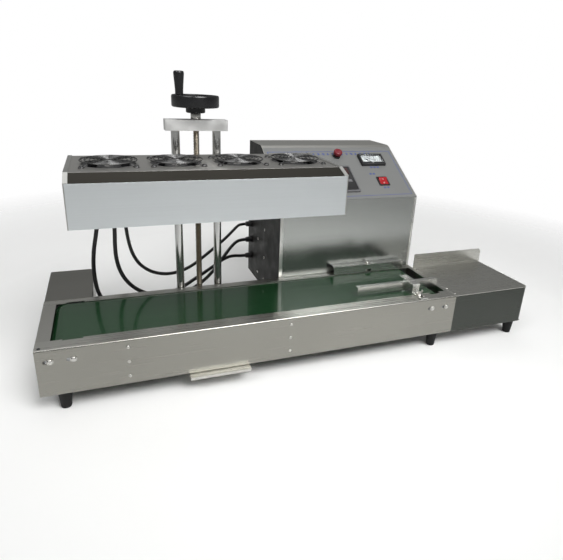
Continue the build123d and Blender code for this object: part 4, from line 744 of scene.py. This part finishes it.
def fan_guard():
    shape = Shape(guard_wire, dark_screw)
    crown = cover_top + 6.1
    reach = 58.3
    for spot in fan_spots:
        home = place(spot)
        for radius in (8.0, 14.5, 22.0, 29.6, 37.2, 44.8):
            points = [(radius * cos(tau * i / 56), radius * sin(tau * i / 56), crown) for i in range(56)]
            shape.tube(points, 0.9 if radius < 44 else 1.1, 8, 0, True, home)
        for i in range(4):
            turn = radians(45 + 90 * i)
            arm = place(spot, (0, 0, 1), (cos(turn), sin(turn), 0))
            under = crown - 1.7
            points = [(6.5, 0, under), (30, 0, under), (44, 0, under), (47.5, 0, under - 0.5), (50, 0, under - 1.9),
                      (52, 0, cover_top + 1.5), (53.4, 0, cover_top + 1.1), (54.6, 0, cover_top + 1.0)]
            shape.tube(points, 0.95, 8, 0, False, arm)
            eye = place(spot + Vector((reach * cos(turn), reach * sin(turn), 0)) * MM)
            loop = [(3.9 * cos(tau * k / 20), 3.9 * sin(tau * k / 20), cover_top + 1.0) for k in range(20)]
            shape.tube(loop, 0.95, 8, 0, True, eye)
            head = place(spot + Vector((reach * cos(turn), reach * sin(turn), cover_top + 1.7)) * MM)
            shape.lathe(place(head.translation - Vector((0, 0, 1.75 * MM))), [(2.4, 0), (2.4, 1.8)], 16, 1)
            pan_screw(shape, head, 3.7, 2.1, 1)
    shape.done("fan_guard_wires", "head", ("fan_guards",), 50)


fan_frame()
fan_guard()
for index, spot in enumerate(fan_spots, start=1):
    fan_impeller(index, spot)


# ---------------------------------------------------------------- screws of the sheet metal
def conveyor_screws():
    shape = Shape(bright_screw, dark_screw)
    for facing, y in ((-1, 0.0), (1, 191.0)):
        for x in (141.0, 432.5):
            for z in (-14, -42, -70):
                pan_screw(shape, place(at(x, y, z), (0, facing, 0)), 3.0, 1.6)
    for x in (21.5, 56.5, 750.0, 785.0):
        spot = at(x, 0, -22)
        shape.lathe(place(spot, (0, -1, 0)), [(0, -0.2), (5.4, -0.2), (5.4, 0.5), (5.1, 0.7), (0, 0.7)], 32)
        shape.lathe(place(spot + Vector((0, -0.7 * MM, 0)), (0, -1, 0)),
                    [(0, 0), (4.6, 0), (4.5, 0.8), (3.9, 1.6), (2.6, 2.1), (1.2, 2.25), (0, 2.25)], 32)
        shape.lathe(place(spot, (0, 1, 0)), [(3.0, -0.2), (3.0, 1.6)], 20)
    pan_screw(shape, place(at(7, 7, 0)), 2.6, 1.2, 1)
    for x, y in ((812.5, 12), (812.5, 155), (812.5, 40)):
        pan_screw(shape, place(at(x, y, 0)), 2.4, 1.1)
    for y, z in ((300, 78), (300, 8), (300, -48), (352, 40), (352, -48), (214, 150), (214, -40)):
        pan_screw(shape, place(Vector((side_low.x, at(0, y, 0).y, at(0, 0, z).z)), (-1, 0, 0), (0, 0, 1)), 3.4, 1.7)
    shape.done("conveyor_screw_heads", "base", ("conveyor_screws",), 40)


conveyor_screws()


def box_edges():
    """Bright steel strips down both sides of the control box front: the bent edges, with their gleam as a painted
    highlight.
    """
    front_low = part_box("box_front_panel")[0]
    shape = Shape(edge_highlight_steel)
    wide = (side_high.x - side_low.x) / MM
    for x in ((0.3, 8.0), (wide - 5.5, wide - 0.3)):
        shape.block(place(Vector((side_low.x, front_low.y, front_low.z)), (0, -1, 0), (1, 0, 0)), x,
                    (1.0, (face_high - front_low.z) / MM - 3.0), (0.0, 0.6), 0, 0.2)
    shape.done("box_edge_highlight_strips", "base")


box_edges()


# ---------------------------------------------------------------- control panel
METER = (266.5, 124.0, 65.0, 38.0)
SWITCH = (269.5, 52.5, 28.0, 29.0)
CONTROLLER = (162.0, 62.0, 72.0, 84.0)
BUTTON = (179.0, 141.0, 10.5)


def panel_print():
    """The thin blue border and the generic marks that stand for the printed words."""
    shape = Shape(blue_print)
    width = (side_high.x - side_low.x) / MM
    left, right, low, high = 9.0, width - 9.0, 8.0, 158.0
    rim, lift = 0.9, 0.14
    home = panel_place(0, 0)
    for x, y in (((left, right), (low, low + rim)), ((left, right), (high - rim, high)),
                 ((left, left + rim), (low, high)), ((right - rim, right), (low, high))):
        shape.block(home, x, y, (0.01, lift), 0, 0)
    x = 118.0
    for i in range(13):
        wide = 6.2 + 2.0 * ((i * 7) % 3) / 2
        for k, rise in enumerate((0.0, 2.6, 5.2)):
            inset = 1.1 * ((i + k) % 3)
            shape.block(home, (x + inset, x + wide - 0.6 * ((i + k) % 2)),
                        (149.0 - 2.4 + rise - 1, 149.0 - 2.4 + rise), (0.01, lift), 0, 0)
        shape.block(home, (x + wide * 0.4, x + wide * 0.4 + 1), (145.6, 152.4), (0.01, lift), 0, 0)
        x += 12.4
    for x, y, count in ((254.0, 98.5, 3), (263.0, 30.0, 2), (243.5, 76.5, 2)):
        for i in range(count):
            shape.block(home, (x + 9 * i, x + 9 * i + 6.5), (y, y + 1.1), (0.01, lift), 0, 0)
            shape.block(home, (x + 9 * i, x + 9 * i + 6.5), (y + 2.6, y + 3.7), (0.01, lift), 0, 0)
            shape.block(home, (x + 9 * i + 2.6, x + 9 * i + 3.7), (y - 0.8, y + 4.6), (0.01, lift), 0, 0)
    shape.done("panel_print", "base")


def meter():
    """The meter's frame, dial, scale and zero screw, under its clear window."""
    x, y, width, height = METER
    home = panel_place(x, y)
    shape = Shape(black_plastic, white_dial, black_print, bright_screw)
    outer, inner = rounded(width, height, 2.0), rounded(width - 10, height - 10, 1.0)
    rows = [[(a, b, 0.0) for a, b in outer], [(a, b, 5.0) for a, b in outer],
            [(a * 0.985, b * 0.975, 6.0) for a, b in outer], [(a * 1.01, b * 1.01, 6.0) for a, b in inner],
            [(a, b, 5.5) for a, b in inner], [(a, b, 2.05) for a, b in inner]]
    shape.grid(rows, True, home)
    shape.prism(home, [(a * 0.999, b * 0.999) for a, b in inner], 2.05, 2.2, 1)
    shape.block(home, (-width / 2 + 5, width / 2 - 5), (-height / 2 + 5, -height / 2 + 10), (2.2, 4.6), 0, 0.3)
    pivot = (0.0, -height / 2 + 7.5)
    for i in range(21):
        turn = radians(45 + 90 * i / 20)
        long = i % 5 == 0
        mark = panel_place(x + pivot[0], y + pivot[1])
        start, end = 17.6, 20.6 if long else 19.3
        half = 0.35 if long else 0.2
        spot = Matrix(mark) @ Matrix.Rotation(turn, 4, "Z")
        shape.block(spot, (start, end), (-half, half), (2.2, 2.32), 2, 0)
    arc = []
    for i in range(25):
        turn = radians(45 + 90 * i / 24)
        arc.append((pivot[0] + 17.4 * cos(turn), pivot[1] + 17.4 * sin(turn), 2.26))
    shape.tube(arc, 0.16, 6, 2, False, home)
    pan_screw(shape, panel_place(x, y - height / 2 + 7.5, 4.6), 1.8, 0.5, 3, 16)
    shape.done("meter_frame", "base", ("meter_housing",), 35)


def rocker_switch():
    x, y, width, height = SWITCH
    shape = Shape(black_plastic)
    outer, inner = rounded(width, height, 2.0), rounded(width - 6, height - 6, 0.8)
    rows = [[(a, b, 0.0) for a, b in outer], [(a, b, 1.2) for a, b in outer],
            [(a * 0.96, b * 0.96, 2.0) for a, b in outer], [(a * 1.02, b * 1.02, 2.0) for a, b in inner],
            [(a, b, 1.4) for a, b in inner], [(a, b, -14.0) for a, b in inner], ]
    shape.grid(rows, True, panel_place(x, y), 0, (False, True))
    bx, by, _ = BUTTON
    collar = [(6.15, 0), (9.5, 0), (9.5, 3.0), (9.1, 3.7), (8.2, 4.0), (6.8, 4.0), (6.15, 3.4), (6.15, 0)]
    shape.lathe(panel_place(bx, by), collar, 40)
    shape.done("switch_bezels", "base", ("panel_bezels",), 35)

    shape = Shape(red_plastic, white_dial)
    half = (height - 6.8) / 2 - 1.2
    wide = (width - 6.8) / 2
    tilt = radians(11)
    home = panel_place(x, y, -4.0) @ Matrix.Rotation(tilt, 4, "X")
    top = []
    for i in range(13):
        run = -half + 2 * half * i / 12
        top.append((run, 8.3 - 2.0 * (1 - (run / half) ** 2) ** 1.0 - (0.35 if abs(run) > half - 0.1 else 0)))
    section = [(-half * 0.8, 0.2), *top, (half * 0.8, 0.2), (0, -4.6)]
    rows = []
    for side, shrink in ((-wide, 0.96), (-wide + 0.5, 1.0), (wide - 0.5, 1.0), (wide, 0.96)):
        rows.append([(side, a * shrink, 2 + (b - 2) * (0.985 if shrink < 1 else 1)) for a, b in section])
    shape.grid(rows, True, home, 0, (True, True))
    shape.block(home @ Matrix.Translation((0, half * 0.55, 0)), (-0.45, 0.45), (-1.9, 1.9), (6.3, 7.15), 1, 0.1)
    ring = [(1.7 * cos(tau * i / 24), -half * 0.55 + 1.7 * sin(tau * i / 24), 7.0) for i in range(24)]
    shape.tube(ring, 0.32, 6, 1, True, home)
    shape.done("power_rocker_cap", "rocker", ("power_rocker",), 45)


def stop_button():
    x, y = BUTTON[:2]
    shape = Shape(button_plastic)
    profile = [(0, -13), (5.9, -13), (5.9, 8.4), (9.7, 8.5), (10.4, 9.2), (10.5, 10.5), (10.5, 13.6), (10.0, 15.3),
               (8.8, 16.2), (7.4, 16.5), (4.5, 16.1), (2.0, 15.9), (0, 15.9)]
    shape.lathe(panel_place(x, y), profile, 48)
    shape.done("stop_button_cap", "button", ("stop_button",), 40)


def controller():
    """The power controller's face: frame, display, four keys and a coloured strip, with no words."""
    x, y, width, height = CONTROLLER
    home = panel_place(x, y)
    shape = Shape(grey_plastic, black_plastic, display, yellow_print)
    outer, inner = rounded(width, height, 3.0), rounded(width - 8, height - 8, 1.5)
    rows = [[(a, b, 0.0) for a, b in outer], [(a, b, 4.0) for a, b in outer],
            [(a * 0.975, b * 0.98, 5.0) for a, b in outer], [(a * 1.015, b * 1.01, 5.0) for a, b in inner],
            [(a, b, 4.6) for a, b in inner], [(a, b, 4.0) for a, b in inner]]
    shape.grid(rows, True, home)
    shape.prism(home, [(a * 0.999, b * 0.999) for a, b in inner], 2.0, 4.05, 1)
    shape.block(home, (-26, 26), (14, 34), (4.0, 4.7), 2, 0.3)
    shape.block(home, (-30, -12), (-2, 9.5), (4.0, 4.25), 3, 0.05)
    for i in range(4):
        shape.block(home, (-27 + 14 * i, -17 + 14 * i), (-12, -4), (4.0, 4.9), 0, 0.4)
    shape.done("controller_face", "base", ("controller_unit",), 35)


panel_print()
meter()
rocker_switch()
stop_button()
controller()


# ---------------------------------------------------------------- hose ends
def hose_ends():
    shape = Shape(black_plastic, rubber)
    for rise in (20.0, -24.0, 62.0):
        base = place(at(472.0, 410.0, rise), (-1, 0, 0), (0, 0, 1))
        nut = [(0, 0), (9.3, 0, True), (9.3, 4.4, True), (8.2, 5.0), (7.6, 5.2), (0, 5.2)]
        shape.lathe(base, nut, 48, 0, six_sides)
        profile = [(7.6, 5.0)]
        for i in range(5):
            taper, rib = 0.25 * i, 1.9 * i
            profile += [(7.5 - taper, 6.0 + rib), (7.0 - taper, 6.5 + rib), (7.4 - taper, 7.4 + rib)]
        profile += [(5.6, 16.6), (4.2, 16.9), (0, 16.9)]
        shape.lathe(base, [(0, 4.9)] + profile, 36, 0)
    shape.done("gland_nuts", "base", ("cable_glands",), 35)
    shape = Shape(bright_screw)
    for x in (118.0, 138.0, 158.0):
        base = place(at(x, 187.5, 222.0), (0, 1, 0))
        profile = [(0, 0), (7.5, 0, True), (7.5, 5.2, True), (6.2, 5.8), (5.8, 6.2), (5.8, 10.8), (5.2, 11.8),
                   (0, 11.8)]
        shape.lathe(base, profile, 36, 0, six_sides)
    shape.done("hose_fitting_nuts", "head", ("hose_fittings",), 35)


hose_ends()


# ---------------------------------------------------------------- clamp screws of the guides
def clamp_knobs():
    low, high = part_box("front_clamp_knob")
    home = place(Vector(((low.x + high.x) / 2, (low.y + high.y) / 2, 0)))
    seat = CORNER.z / MM + 2.5
    shape = Shape(bright_screw)
    gap = 0.08  # the washer stands clear of the guide that slides under it
    shape.lathe(home, [(0, seat - 7.3), (2.85, seat - 7.3), (2.85, seat + gap), (5.9, seat + gap), (5.9, seat + 0.8),
                       (4.6, seat + 2.2), (4.0, seat + 5.0), (3.0, seat + 5.6), (2.6, seat + 5.6), (2.6, seat + 7.4),
                       (0, seat + 7.4)], 32)
    for side in (-1, 1):
        wing = [(2.4, 1.0), (4.2, 1.4), (6.0, 4.4), (7.6, 7.2), (7.8, 9.4), (6.6, 10.7), (5.0, 10.4), (3.8, 8.2),
                (2.6, 5.6)]
        outline = [(side * x, y) for x, y in (wing if side > 0 else wing[::-1])]
        blade = place(home.translation + Vector((0, 0, seat * MM)), (0, -1, 0), (1, 0, 0))
        shape.prism(blade, outline, -1.2, 1.2, 0, 0.5)
    shape.done("front_clamp_wing_nut", "near_clamp", ("front_clamp_knob",), 40)
    low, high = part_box("rear_clamp_knob")
    home = Vector(((low.x + high.x) / 2, (low.y + high.y) / 2, 0))
    seat = high.z / MM - 4.0
    shape = Shape(bright_screw)
    shape.lathe(place(home), [(0, low.z / MM), (2.9, low.z / MM), (2.9, seat), (2.9, seat + 0.1)], 24)
    socket_screw(shape, place(home + Vector((0, 0, (seat + 0.05) * MM))), 5.0, 3.8)
    shape.done("rear_clamp_screw", "far_clamp", ("rear_clamp_knob",), 40)


clamp_knobs()


# ---------------------------------------------------------------- softened edges of the sheet metal
for name in ("front_rail", "rear_rail", "table_top", "table_skirt", "top_block", "base_plate", "head_front_panel",
             "head_cover", "box_side_panels", "front_guide", "rear_guide", "carriage_block"):
    node = frame["nodes"][name]
    weld = node.modifiers.new("join", "WELD")
    weld.merge_threshold = 1e-5
    flat = node.modifiers.new("flat", "DECIMATE")
    flat.decimate_type = "DISSOLVE"
    flat.angle_limit = radians(0.6)
    flat.delimit = {"MATERIAL"}
    edge = node.modifiers.new("edge", "BEVEL")
    edge.width = 0.35 * MM
    edge.segments = 2
    edge.limit_method = "ANGLE"
    edge.angle_limit = radians(50)
    node.data.shade_flat()

# ---------------------------------------------------------------- floor
ground = bpy.data.meshes.new("floor")
half = 30.0
FLOOR_SOLID, FLOOR_GONE = 0.75, 1.6  # the floor fades out between these distances from the middle, in metres
ground.from_pydata([(-half, -half, 0), (half, -half, 0), (half, half, 0), (-half, half, 0)], [], [(0, 1, 2, 3)])
floor = bpy.data.objects.new("floor", ground)
floor.location.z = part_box("rubber_feet")[0].z - 0.0002
bpy.context.scene.collection.objects.link(floor)
pale, t, shader = surface("floor_paint", (0.90, 0.90, 0.895), 0.0, 0.8)
ground.materials.append(pale)
floor_at = t.add("ShaderNodeTexCoord").outputs["Object"]
reach = t.tree.nodes.new("ShaderNodeVectorMath")
reach.operation = "LENGTH"
t.put(reach.inputs[0], floor_at)
far = t.scale(reach.outputs["Value"], FLOOR_SOLID, FLOOR_GONE, 0.0, 1.0)
fade = t.add("ShaderNodeMixShader", Fac=far)
t.put(fade.inputs[1], shader.outputs[0])
t.put(fade.inputs[2], t.add("ShaderNodeBsdfTransparent").outputs[0])
t.put(next(n for n in t.tree.nodes if n.type == "OUTPUT_MATERIAL").inputs["Surface"], fade.outputs[0])
